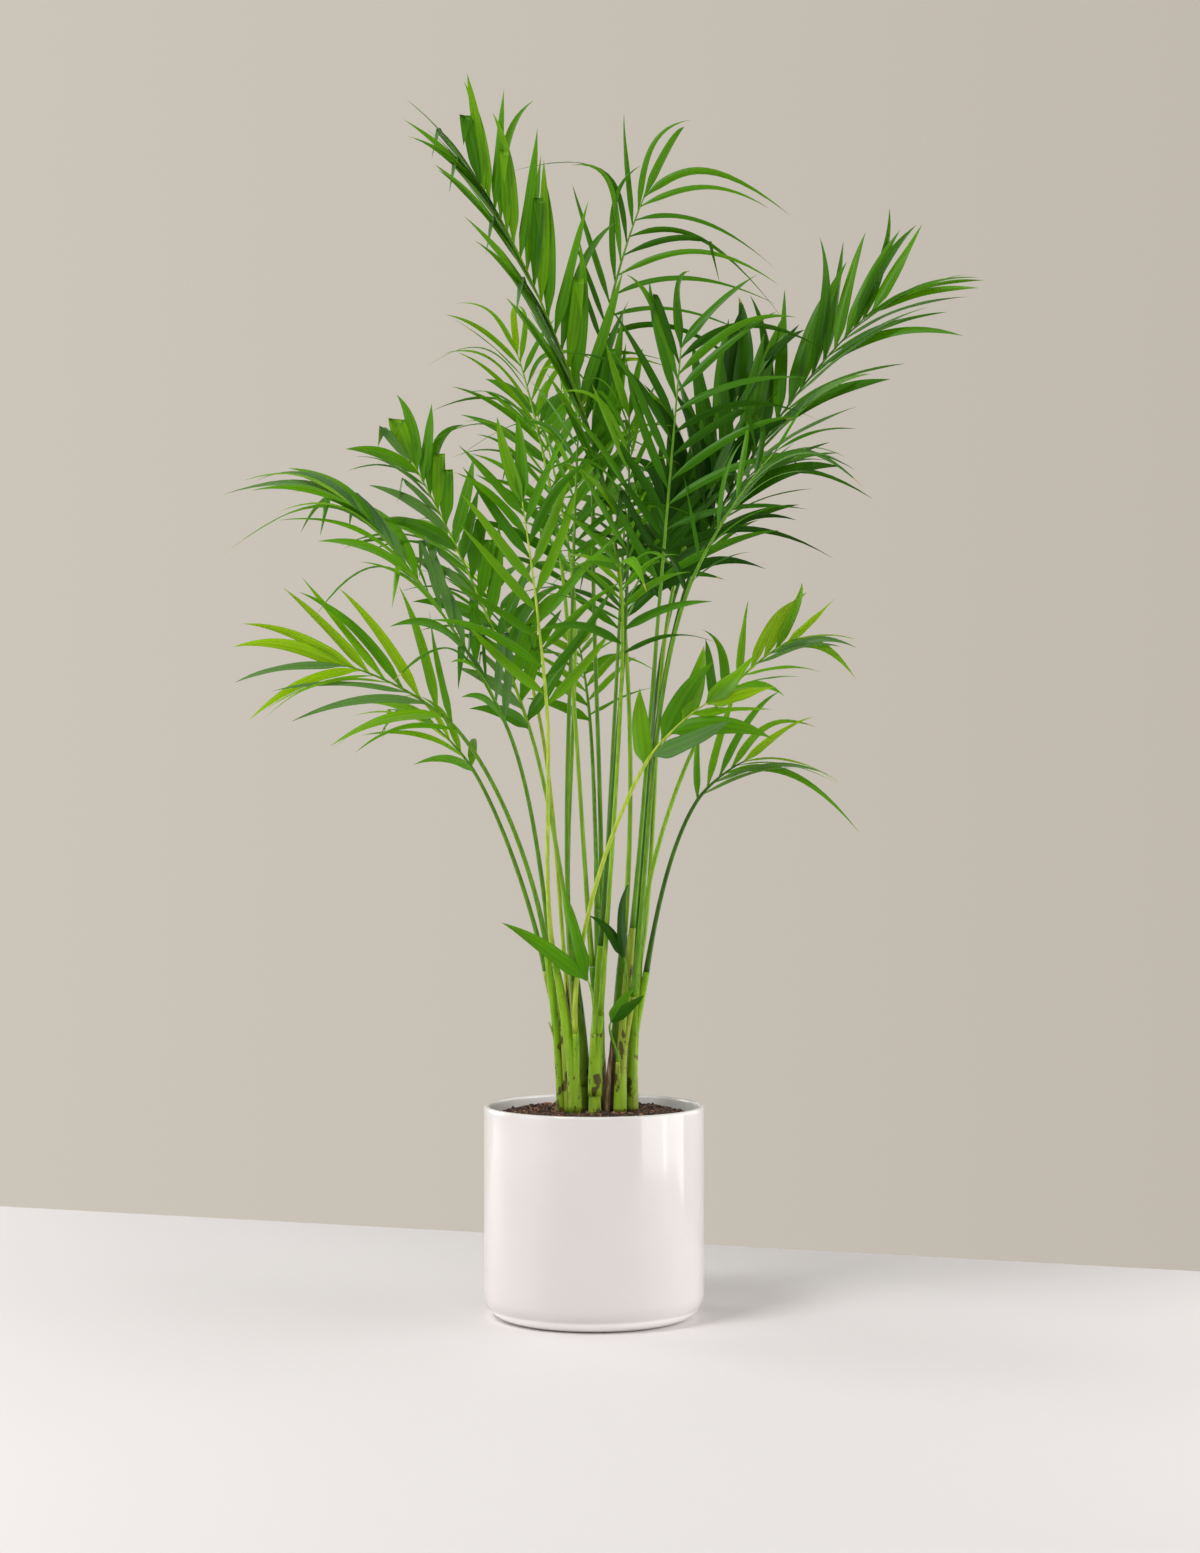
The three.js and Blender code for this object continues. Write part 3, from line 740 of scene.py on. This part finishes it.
def add_chip(bm):
    reach = POT_RADIUS - POT_WALL - CHIP_MARGIN
    spread = reach * math.sqrt(dice.random())
    turn = dice.random() * math.tau
    x = spread * math.cos(turn)
    y = spread * math.sin(turn)
    place = Vector((x, y, soil_level(spread, reach) + soil_ripple(x, y) + CHIP_LIFT))
    size = dice.uniform(*CHIP_SIZE)
    sizes = Vector((size * dice.uniform(*CHIP_STRETCH), size, size * 0.5))
    axis = (dice.gauss(0, 1), dice.gauss(0, 1), dice.gauss(0, 1) + CHIP_UPRIGHT)
    twist = Quaternion(axis, dice.uniform(0, 6))
    chip = bmesh.ops.create_cube(bm, size=1.0)["verts"]
    for vert in chip:
        local = vert.co * sizes
        local += Vector((dice.uniform(-CHIP_SKEW, CHIP_SKEW), dice.uniform(-CHIP_SKEW, CHIP_SKEW), 0.0))
        local.rotate(twist)
        vert.co = (place + local) * MM
    slot = dice.choices((0, 1, 2), weights=CHIP_SHARES)[0]
    for patch in {patch for vert in chip for patch in vert.link_faces}:
        patch.material_index = slot


def chip_material(number, brown):
    material, shader = new_material(f"bark_chip_{number}", brown, 0.85)
    grain = noise_of(material, object_place(material), 600.0, 2.0)
    colour = ramp_of(material, grain, [(0.35, scaled(brown, 0.55)), (0.65, scaled(brown, 1.6))])
    paint(material, shader, colour, grain, 0.4, 0.0005)
    return material


chip_bmesh = bmesh.new()
for _ in range(CHIP_COUNT):
    add_chip(chip_bmesh)
chip_materials = [chip_material(number, brown) for number, brown in enumerate(CHIP_BROWNS, 1)]
make_piece("soil_chips", chip_bmesh, chip_materials)

# %% [markdown]
# The canes are smooth and green. Near the soil they yellow, and old sheaths have left brown marks on
# them: torn patches and small specks. Noise stretched along the cane gives its lengthwise streaks,
# which mix a shaded and a lit copy of the cane's green: painted shade and painted light. Two more
# noises, cut off sharply, give the patches and the specks, and the height above the soil, read from the
# object's own coordinates, decides how many of them show.

# %% Cane finish
YELLOWED = (0.26, 0.33, 0.035)
YELLOWING = 0.45
SCAR_BROWN = (0.055, 0.032, 0.012)
SCAR_STRENGTH = 0.9
SCAR_EDGE = 0.05
MORE_WHEN_OLD = 0.07
TORN_PATCHES = (85.0, 0.6, 0.55)
SPECKS = (260.0, 0.5, 0.61)


def cane_material(name, shaded_green, lit_green, marked_height):
    material, shader = new_material(name, shaded_green, 0.42, gloss=0.16)
    streaks = noise_of(material, stretched(material, 0.09), 260.0, 3.0)
    # Streaks of painted shade and painted light: the shaded green and the lit green mixed by the noise.
    green = ramp_of(material, streaks, [(0.3, shaded_green), (0.72, lit_green)])
    height = parts_of(material, object_place(material))["Z"]
    age = range_of(material, height, SOIL_TOP * MM, marked_height, at_start=1.0, at_end=0.0)
    yellowing = math_of(material, "MULTIPLY", age, YELLOWING)
    aged = blend_of(material, yellowing, green, (*YELLOWED, 1.0))
    for scale, squash, least in (TORN_PATCHES, SPECKS):
        marks = noise_of(material, stretched(material, squash), scale, 4.0)
        often = math_of(material, "MULTIPLY", age, MORE_WHEN_OLD)
        raised = math_of(material, "ADD", marks, often)
        start = least + MORE_WHEN_OLD
        cut = range_of(material, raised, start, start + SCAR_EDGE, at_end=SCAR_STRENGTH)
        aged = blend_of(material, cut, aged, (*SCAR_BROWN, 1.0))
    paint(material, shader, aged, streaks, 0.25, 0.0006)
    return material


CANE_MATERIALS = [
    cane_material("cane_bright", (0.12, 0.29, 0.005), (0.25, 0.44, 0.012), 0.36),
    cane_material("cane_olive", (0.17, 0.26, 0.015), (0.30, 0.38, 0.04), 0.44),
    cane_material("cane_deep", (0.055, 0.16, 0.004), (0.11, 0.24, 0.01), 0.38),
]
print("cane finishes:", [material.name for material in CANE_MATERIALS])

# %% [markdown]
# A cane is jointed: every leaf that falls leaves a ring scar. We give the rod's radius a narrow
# swelling at each joint, which is real relief and so shows from any side. The top narrows
# smoothly into the stalk that stands on it. Where a frond leaves the cane's side, its sheath is
# a second rod that starts inside the cane and ends at the seat.

# %% Cane shapes
CANE_SIDES = 16
CANE_RINGS = 84
SHEATH_SIDES = 12
SHEATH_RINGS = 14
JOINT_SPACING = 42
JOINT_HEIGHT = 0.055
JOINT_THICKNESS = 1.6
THROAT = 0.6
TOP_LIP = 0.3
SHEATH_LIP = 0.35
SHEATH_RADIUS = 4.1
CANE_LOOKS = (0, 1, 0, 2, 0, 2, 1, 0, 2, 1, 2, 1)


def jointed_radius(cane, number):
    length = cane["top"][2] - SOIL_TOP
    phase = chance(number * 13) * 0.5

    def radius_at(share):
        step = share * length / JOINT_SPACING + phase
        nearness = math.exp(-(((step - round(step)) * JOINT_SPACING / JOINT_THICKNESS) ** 2))
        radius = cane_radius(cane, share) * (1 + JOINT_HEIGHT * nearness)
        narrowing = max(0.0, (share - THROAT) / (1 - THROAT)) ** 2
        return mix(radius, FOOT_RADIUS + TOP_LIP, narrowing)

    return radius_at


def add_sheath(bm, one):
    seat, seat_heading, away = seat_of(one)
    cane = CANES[one["cane"] - 1]
    size = one["size"]
    _, root, root_heading = cane_at(cane, one["foot"] - SHEATH_LENGTH * size)
    path = lambda share: arc(root, root_heading, seat, seat_heading, share)
    radius_at = lambda share: size * mix(SHEATH_RADIUS, FOOT_RADIUS + SHEATH_LIP, share ** 3)
    add_rod(bm, path, away, radius_at, SHEATH_SIDES, SHEATH_RINGS)


def make_cane(cane, number):
    bm = bmesh.new()
    add_rod(bm, cane_path(cane), RIGHT, jointed_radius(cane, number), CANE_SIDES, CANE_RINGS)
    for one in FRONDS:
        if one["cane"] == number and one["foot"] is not None:
            add_sheath(bm, one)
    name = f"cane_{number:02d}"
    look = CANE_MATERIALS[CANE_LOOKS[number - 1]]
    make_piece(f"{name}_stem", bm, [look], [name])


for number, cane in enumerate(CANES, 1):
    make_cane(cane, number)

# %% [markdown]
# Leaves that have died leave their sheaths behind. Near the soil these wrap the canes like torn
# sleeves, each drawn up to a point on one side, green at first and brown and papery later.
# We could cut them from the cane's own mesh, but a second, slightly wider rod round part of the
# cane is simpler, and the slant lifts one side of its rings. A few stubs stand free between.
# A sleeve's row gives its cane, its low and high end above the soil, how far it stands off, where
# round the cane its point is, in degrees, and its finish. A stub's gives foot, tip, radius, finish.

# %% Old sheaths and stubs
SLEEVE_RISE = 15
SLEEVE_TIGHTENING = 0.8
SLEEVE_SIDES = 14
SLEEVE_RINGS = 12
STUB_SIDES = 10
STUB_RINGS = 14
STUB_POINT = 0.2
STUB_BLUNTNESS = 3
STUB_TAPER = 0.8
SLEEVES = [
    (2, 2, 84, 1.2, -110, 1), (3, 2, 98, 1.3, -100, 0), (4, 30, 118, 1.2, -60, 2),
    (5, 22, 116, 1.6, -30, 0), (6, 2, 66, 1.4, -90, 3), (7, 2, 58, 1.0, -140, 0),
    (8, 2, 34, 1.5, -70, 1), (9, 2, 82, 1.8, -120, 3), (10, 2, 70, 1.4, 90, 3),
    (11, 2, 92, 1.4, 60, 1), (12, 2, 60, 1.5, 20, 3),
]
STUBS = [
    ((-29, -24, 238), (-37, -30, 355), 5.4, 1),
    ((-43, -24, 312), (-52, -28, 343), 1.5, 1),
    ((-28, -4, 325), (-32, -8, 388), 2.2, 3),
    ((15, -26, 238), (20, -34, 318), 3.8, 3),
    ((9, 12, 238), (12, 14, 300), 4.2, 1),
]
DRY_BROWNS = [(0.3, (0.035, 0.02, 0.009)), (0.5, (0.12, 0.075, 0.03)), (0.72, (0.30, 0.22, 0.11))]


def dry_sheath_material():
    material, shader = new_material("dry_sheath", (0.13, 0.08, 0.035), 0.8)
    fibres = noise_of(material, stretched(material, 0.12), 420.0, 4.0)
    paint(material, shader, ramp_of(material, fibres, DRY_BROWNS), fibres, 0.5, 0.001)
    return material


def add_sleeve(bm, number, low, high, off, point, slot):
    cane = CANES[number - 1]
    length = cane["top"][2] - SOIL_TOP
    whole = cane_path(cane)

    def place(share):
        return mix(low, high, share) / length

    def radius_at(share):
        return cane_radius(cane, place(share)) + off * (1 - SLEEVE_TIGHTENING * share ** 4)

    def lift(share, angle):
        return SLEEVE_RISE * share ** 3 * math.cos(angle - math.radians(point))

    path = lambda share: whole(place(share))
    add_rod(bm, path, RIGHT, radius_at, SLEEVE_SIDES, SLEEVE_RINGS, slot=slot, slant=lift)


def add_stub(bm, foot, tip, radius, slot):
    foot = Vector(foot)
    tip = Vector(tip)
    path = lambda share: arc(foot, UP, tip, (tip - foot).normalized(), share)
    radius_at = lambda share: max(STUB_POINT, radius * (1 - share ** STUB_BLUNTNESS) ** STUB_TAPER)
    add_rod(bm, path, RIGHT, radius_at, STUB_SIDES, STUB_RINGS, slot=slot)


sheath_bmesh = bmesh.new()
for sleeve in SLEEVES:
    add_sleeve(sheath_bmesh, *sleeve)
for stub in STUBS:
    add_stub(sheath_bmesh, *stub)
make_piece("old_sheaths", sheath_bmesh, [*CANE_MATERIALS, dry_sheath_material()])

# %% [markdown]
# The ribs carry on from the canes: a stalk up to the knee, then the rib between the leaflets. Seen
# together they vary a lot: some are deep green, most are brighter than the leaflets, and a few are
# nearly yellow. Four finishes are dealt out frond by frond; in each, fine lengthwise streaks mix a
# shaded and a lit copy of its green, painted shade and painted light.

# %% Rib finish and shapes
RIB_SIDES = 10
RIB_RINGS = 56


def rib_material(name, shaded, lit):
    material, shader = new_material(name, lit, 0.38, gloss=0.2)
    streaks = noise_of(material, stretched(material, 0.12), 320.0, 2.0)
    # The streaks are painted shade and painted light: the shaded and lit greens mixed by noise.
    paint(material, shader, ramp_of(material, streaks, [(0.32, shaded), (0.68, lit)]))
    return material


RIB_MATERIALS = [
    rib_material("rib_deep", (0.025, 0.085, 0.002), (0.05, 0.14, 0.003)),
    rib_material("rib_green", (0.065, 0.18, 0.004), (0.12, 0.27, 0.007)),
    rib_material("rib_bright", (0.13, 0.29, 0.007), (0.23, 0.40, 0.014)),
    rib_material("rib_yellow", (0.26, 0.38, 0.02), (0.42, 0.52, 0.06)),
]
RIB_LOOKS = (2, 1, 1, 0, 2, 1, 0, 3, 1, 2, 1, 2, 3, 0, 1, 2, 1, 0, 3, 1, 2, 0, 1, 2, 2, 1, 1)


def make_rib(one, look):
    bm = bmesh.new()
    radius_at = lambda share: rib_radius(one, share)
    add_rod(bm, rib_path(one), across_of(one), radius_at, RIB_SIDES, RIB_RINGS)
    make_piece(f"{one['name']}_rib", bm, [RIB_MATERIALS[look]])


for one, look in zip(FRONDS, RIB_LOOKS, strict=True):
    make_rib(one, look)

# %% [markdown]
# The leaflets make the palm. They grow from the rib in two rows, a little closer toward its tip,
# and every leaflet sweeps forward, rises out of the frond's plane and sags by its own small
# chance. The rule is the one that shaped the solid fronds, so the leaflets fill the same reach.
# Three finer habits come on top: long tips fall over, upright ones hooking to one side, blades
# swing a little, and now and then one is bent over sharply, with a blunt top. Each leaflet has a
# key, and each habit adds its own number to it, so that no two of them share a chance.

# %% The leaflet rule
ROW_STAGGER = 0.4
TIP_CROWDING = 1.2
SWEEP_OF_LAST = 15
FORWARD_CURL = 0.12
ROOT_DEPTH = 1
LAST_WIDTH = 1.3
LAST_LENGTH = 0.95
LONGEST_PLACE = 0.35
SHORTER_AWAY = 0.5
LOWEST_PLACE = 0.15
SHORTER_LOWEST = 0.8
SWEEP_CHANCE = 6
RISE_CHANCE = 9
TWIST_CHANCE = 25
LENGTH_CHANCE = 0.07
SAG_CHANCE = 0.4
SWING_CHANCE = 0.2
FALL_CHANCE = 0.9
FALL_AT_KNEE = 0.5
FALL_GROWTH = 0.7
HOOK = 0.8
HOOK_DROP = 0.8
FOLD_PLACE = 0.62
FOLD_REACH = 0.25


def length_along(along):
    shorter = SHORTER_AWAY * (along - LONGEST_PLACE) ** 2
    return 1 - shorter - SHORTER_LOWEST * max(0.0, LOWEST_PLACE - along)


def turned(vector, axis, angle):
    result = vector.copy()
    result.rotate(Quaternion(axis, angle))
    return result


def leaflet_of(one, index, pair, row, turn, shrink):
    second = 1 if row > 0 else 0
    key = index * 97 + pair * 2 + second
    last = pair == one["pairs"] - 1
    steps = one["pairs"] - 1 + ROW_STAGGER
    evenly = 1.0 if last else (pair + ROW_STAGGER * second) / steps
    along = 1 - (1 - evenly) ** TIP_CROWDING
    at, rib, side, _ = frame_of(rib_path(one), 0.5 + 0.5 * along, across_of(one))
    side = turned(side, rib, -one["roll"])
    face = side.cross(rib)
    rule = SWEEP_OF_LAST if last else mix(*one["sweep"], along)
    sweep = math.radians(rule + row * one["skew"] + SWEEP_CHANCE * chance(key) + turn)
    rise = math.radians(one["rise"] + RISE_CHANCE * chance(key + 31))
    heading = rib * math.cos(sweep) + side * (row * math.sin(sweep) * math.cos(rise))
    heading += face * (math.sin(sweep) * math.sin(rise))
    blade = heading.cross(side * math.sin(rise) - face * (row * math.cos(rise)))
    twist = math.radians(one["twist"][second] + TWIST_CHANCE * chance(key + 83))
    length = one["leaf"][0] * length_along(along) * (1 + LENGTH_CHANCE * chance(key + 57))
    width = mix(one["leaf"][1], one["leaf"][-1], along)
    fall = one["fall"] * (FALL_AT_KNEE + FALL_GROWTH * along)
    return {
        "key": key, "row": row, "along": along, "root": at - heading * ROOT_DEPTH,
        "heading": heading, "forward": rib, "blade": turned(blade, heading, twist),
        "length": length * shrink * (LAST_LENGTH if last else 1.0),
        "width": width * (LAST_WIDTH if last else 1.0),
        "sag": one["sag"][second] * (1 + SAG_CHANCE * chance(key + 71)),
        "fall": fall * (1 + FALL_CHANCE * chance(key + 191)),
        "swing": SWING_CHANCE * chance(key + 211), "hook": math.copysign(1.0, chance(key + 241)),
        "fold": FOLD_PLACE if chance(key + 229) > 1 - 2 * one["folded"] else 1.0,
    }


def leaflet_path(leaf):
    heading = leaf["heading"]
    down = heading * heading.z - UP
    length = leaf["length"]
    swing = leaf["blade"] * leaf["swing"]
    over = leaf["blade"] * leaf["hook"] - UP * HOOK_DROP
    over *= heading.z ** 2 * leaf["fall"] * HOOK

    def arched(share):
        curl = length * FORWARD_CURL * share * share
        droop = length * (leaf["sag"] * share ** 2 + leaf["fall"] * share ** 4)
        place = leaf["root"] + heading * (length * share) + swing * (length * share ** 3)
        return place + leaf["forward"] * curl + down * droop + over * (length * share ** 4)

    def path(share):
        past_fold = max(0.0, share - leaf["fold"])
        return arched(share - past_fold) + (heading * FOLD_REACH - UP) * (length * past_fold)

    return path


print("leaflets planned:", sum(2 * one["pairs"] for one in FRONDS))

# %% [markdown]
# One leaflet is a long lance-shaped blade. It is creased along its middle, with a shallow pleat
# on either side, and its edges wave a little. A subdivided plane is enough: a grid whose rows
# follow the leaflet's path, narrowed to the blade's outline. The grid's own UV map records
# where across and along the blade each point lies, and the finish uses it for the veins.

# %% One leaflet
BLADE_ACROSS = 4
BLADE_ALONG = 16
CREASE = 0.3
PLEAT = 0.07
WAVE = 0.16
WAVES_ALONG = 1.7
NECK_WIDTH = 0.2
NECK_END = 0.24
BLUNTNESS = 3.6
TAPER = 1.1
TWIST_ALONG = 38


def blade_width(share):
    rise = min(1.0, share / NECK_END)
    neck = mix(NECK_WIDTH, 1.0, rise * rise * (3 - 2 * rise))
    return neck * (1 - share ** BLUNTNESS) ** TAPER


def blade_rise(across, share, wave_phase):
    crease = -CREASE * abs(across)
    pleat = PLEAT * math.cos(2 * math.tau * across)
    wave = WAVE * across * math.sin(math.tau * (WAVES_ALONG * share + wave_phase)) * share
    return crease + pleat + wave


def add_blade(bm, leaf, tone, tip_tone):
    first = len(bm.verts)
    first_face = len(bm.faces)
    bmesh.ops.create_grid(
        bm, x_segments=BLADE_ACROSS, y_segments=BLADE_ALONG, size=0.5, calc_uvs=True
    )
    bm.verts.ensure_lookup_table()
    bm.faces.ensure_lookup_table()
    path = leaflet_path(leaf)
    frames = {}
    lean = math.radians(TWIST_ALONG) * chance(leaf["key"] + 101)
    wave_phase = chance(leaf["key"] + 127)
    for vert in bm.verts[first:]:
        share = round(vert.co.y + 0.5, 5)
        across = vert.co.x * 2
        if share not in frames:
            side_hint = turned(leaf["blade"], leaf["heading"], lean * share)
            at, _, side, face = frame_of(path, share, side_hint)
            frames[share] = at, side, face * -leaf["row"]
        at, side, upper = frames[share]
        half = leaf["width"] / 2 * blade_width(share)
        rise = blade_rise(across, share, wave_phase)
        vert.co = (at + side * (across * half) + upper * (rise * half)) * MM
    last_row = BLADE_ACROSS * (BLADE_ALONG - 1)
    for number, patch in enumerate(bm.faces[first_face:]):
        patch.material_index = tone if number < last_row else tip_tone


print("quads in one leaflet:", BLADE_ACROSS * BLADE_ALONG)

# %% [markdown]
# Leaf green isn't one colour. The deepest greens lie on the fronds inside the clump, partly their own
# colour and partly painted shade, the old outer leaflets are mid green, and the low fronds are almost
# lime, partly their own colour and partly painted light. The tones are separate materials with a plain
# colour each, dealt out leaflet by leaflet. Each blade is waxy, so the shader has a soft gloss, and
# thin, so some light passes through it: a translucent shader, yellower than the surface, is mixed in.
# Fine veins run along the blade in the UV map.

# %% Leaf finish
LEAF_TONES = [
    ("leaf_deep", (0.017, 0.072, 0.001)),
    ("leaf_dark", (0.032, 0.122, 0.002)),
    ("leaf_mid", (0.055, 0.185, 0.003)),
    ("leaf_fresh", (0.086, 0.250, 0.004)),
    ("leaf_bright", (0.142, 0.325, 0.006)),
    ("leaf_lime", (0.235, 0.410, 0.006)),
]
UNDERSIDE = ("leaf_underside", (0.095, 0.205, 0.06))
TIP_DRY = ("leaf_tip_dry", (0.33, 0.30, 0.09))
LIGHT_THROUGH = 0.32
THROUGH_TINT = (1.9, 1.8, 0.5)
VEIN_SCALE = 0.95
VEIN_DARK = 0.92
VEIN_LIGHT = 1.16
BASE_TINT = (0.7, 0.82, 0.8)
TIP_TINT = (1.0, 1.0, 1.0)


def leaf_material(name, colour):
    material, shader = new_material(name, colour, 0.36, gloss=0.13)
    uv = add_node(material, "UVMap", uv_map="blade").outputs["UV"]
    values = {"Vector": uv, "Scale": VEIN_SCALE}
    waves = add_node(material, "TexWave", values, wave_type="BANDS", bands_direction="X")
    veins = waves.outputs["Fac"]
    darker = scaled(colour, VEIN_DARK)
    veined = ramp_of(material, veins, [(0.2, darker), (0.9, scaled(colour, VEIN_LIGHT))])
    along = parts_of(material, uv)["Y"]
    ripening = ramp_of(material, along, [(0.25, BASE_TINT), (1.0, TIP_TINT)])
    tinted = blend_of(material, 1.0, veined, ripening, "MULTIPLY")
    paint(material, shader, tinted, veins, 0.05, 0.0003)
    through = tuple(min(1.0, channel * tint) for channel, tint in zip(colour, THROUGH_TINT))
    glow = add_node(material, "BsdfTranslucent", {"Color": (*through, 1.0)}).outputs["BSDF"]
    values = {"Fac": LIGHT_THROUGH, 1: shader.outputs["BSDF"], 2: glow}
    both = add_node(material, "MixShader", values).outputs["Shader"]
    link(material, both, material.node_tree.nodes["Material Output"].inputs["Surface"])
    return material


LEAF_MATERIALS = [leaf_material(name, colour) for name, colour in [*LEAF_TONES, UNDERSIDE, TIP_DRY]]
print("leaf tones:", len(LEAF_MATERIALS))

# %% [markdown]
# A leaflet mustn't pass through a stalk or cane of another frond. Checking every pair of meshes
# would be slow, so all the rods go into one BVH tree, which finds touching faces quickly. A
# leaflet that touches a strange rod is turned or shortened, and left out if nothing helps.

# %% Keeping leaflets clear of the stalks
TRIES = [(0, 1.0), (8, 1.0), (-8, 1.0), (16, 0.95), (-16, 0.95), (0, 0.75), (12, 0.6), (-12, 0.6)]
TEST_ALONG = 6
TEST_START = 0.06
TEST_SPAN = 0.9


def rod_tree():
    points = []
    faces = []
    owners = []
    for piece in scene.objects:
        if not piece.name.endswith(("_rib", "_stem")):
            continue
        start = len(points)
        points.extend(vert.co.copy() for vert in piece.data.vertices)
        for patch in piece.data.polygons:
            faces.append([start + corner for corner in patch.vertices])
            owners.append(piece.name)
    return BVHTree.FromPolygons(points, faces), owners


def touches(leaf, own_rib):
    path = leaflet_path(leaf)
    points = []
    for step in range(TEST_ALONG + 1):
        share = TEST_START + TEST_SPAN * step / TEST_ALONG
        at, _, side, _ = frame_of(path, share, leaf["blade"])
        half = leaf["width"] / 2 * blade_width(share)
        points.extend(((at - side * half) * MM, (at + side * half) * MM))
    strips = [(2 * i, 2 * i + 1, 2 * i + 3, 2 * i + 2) for i in range(TEST_ALONG)]
    found = RODS.overlap(BVHTree.FromPolygons(points, strips))
    return any(ROD_OWNERS[rod] != own_rib for rod, _ in found)


def fitted_leaflet(one, index, pair, row):
    for turn, shrink in TRIES:
        leaf = leaflet_of(one, index, pair, row, turn, shrink)
        if not touches(leaf, f"{one['name']}_rib"):
            return leaf
    return None


RODS, ROD_OWNERS = rod_tree()
print("faces of stalks and canes:", len(ROD_OWNERS))

# %% [markdown]
# Now the fronds can be dressed. Each frond's leaflets are one mesh, which takes the place of
# its solid together with the rib made above. The tone of each leaflet lies between its frond's
# greens at the knee and at the tip, shifted about one step lighter or darker by chance, and a
# few leaflets end in a dry tip. On fronds that lie on their side the hanging row shows its paler
# underside, so half of it gets that tone.

# %% Dress the fronds
DRY_TIP_OVER = 0.8
TONE_CHANCE = 1.1


def tone_of(one, leaf):
    hanging = one["sag"][0] < one["sag"][1] if leaf["row"] > 0 else one["sag"][0] > one["sag"][1]
    if one["roll"] and hanging and chance(leaf["key"] + 157) > 0:
        return len(LEAF_TONES)
    tone = round(mix(*one["green"], leaf["along"]) + TONE_CHANCE * chance(leaf["key"] + 149))
    return min(max(tone, 0), len(LEAF_TONES) - 1)


def dress(one, index):
    bm = bmesh.new()
    bm.loops.layers.uv.new("blade")
    grown = 0
    for pair in range(one["pairs"]):
        for row in (-1, 1):
            leaf = fitted_leaflet(one, index, pair, row)
            if leaf is None:
                continue
            tone = tone_of(one, leaf)
            dry = chance(leaf["key"] + 173) > DRY_TIP_OVER
            add_blade(bm, leaf, tone, len(LEAF_TONES) + 1 if dry else tone)
            grown += 1
    make_piece(f"{one['name']}_leaflets", bm, LEAF_MATERIALS, [one["name"]])
    return grown


grown_leaflets = sum(dress(one, index) for index, one in enumerate(FRONDS))
print("leaflets grown:", grown_leaflets)
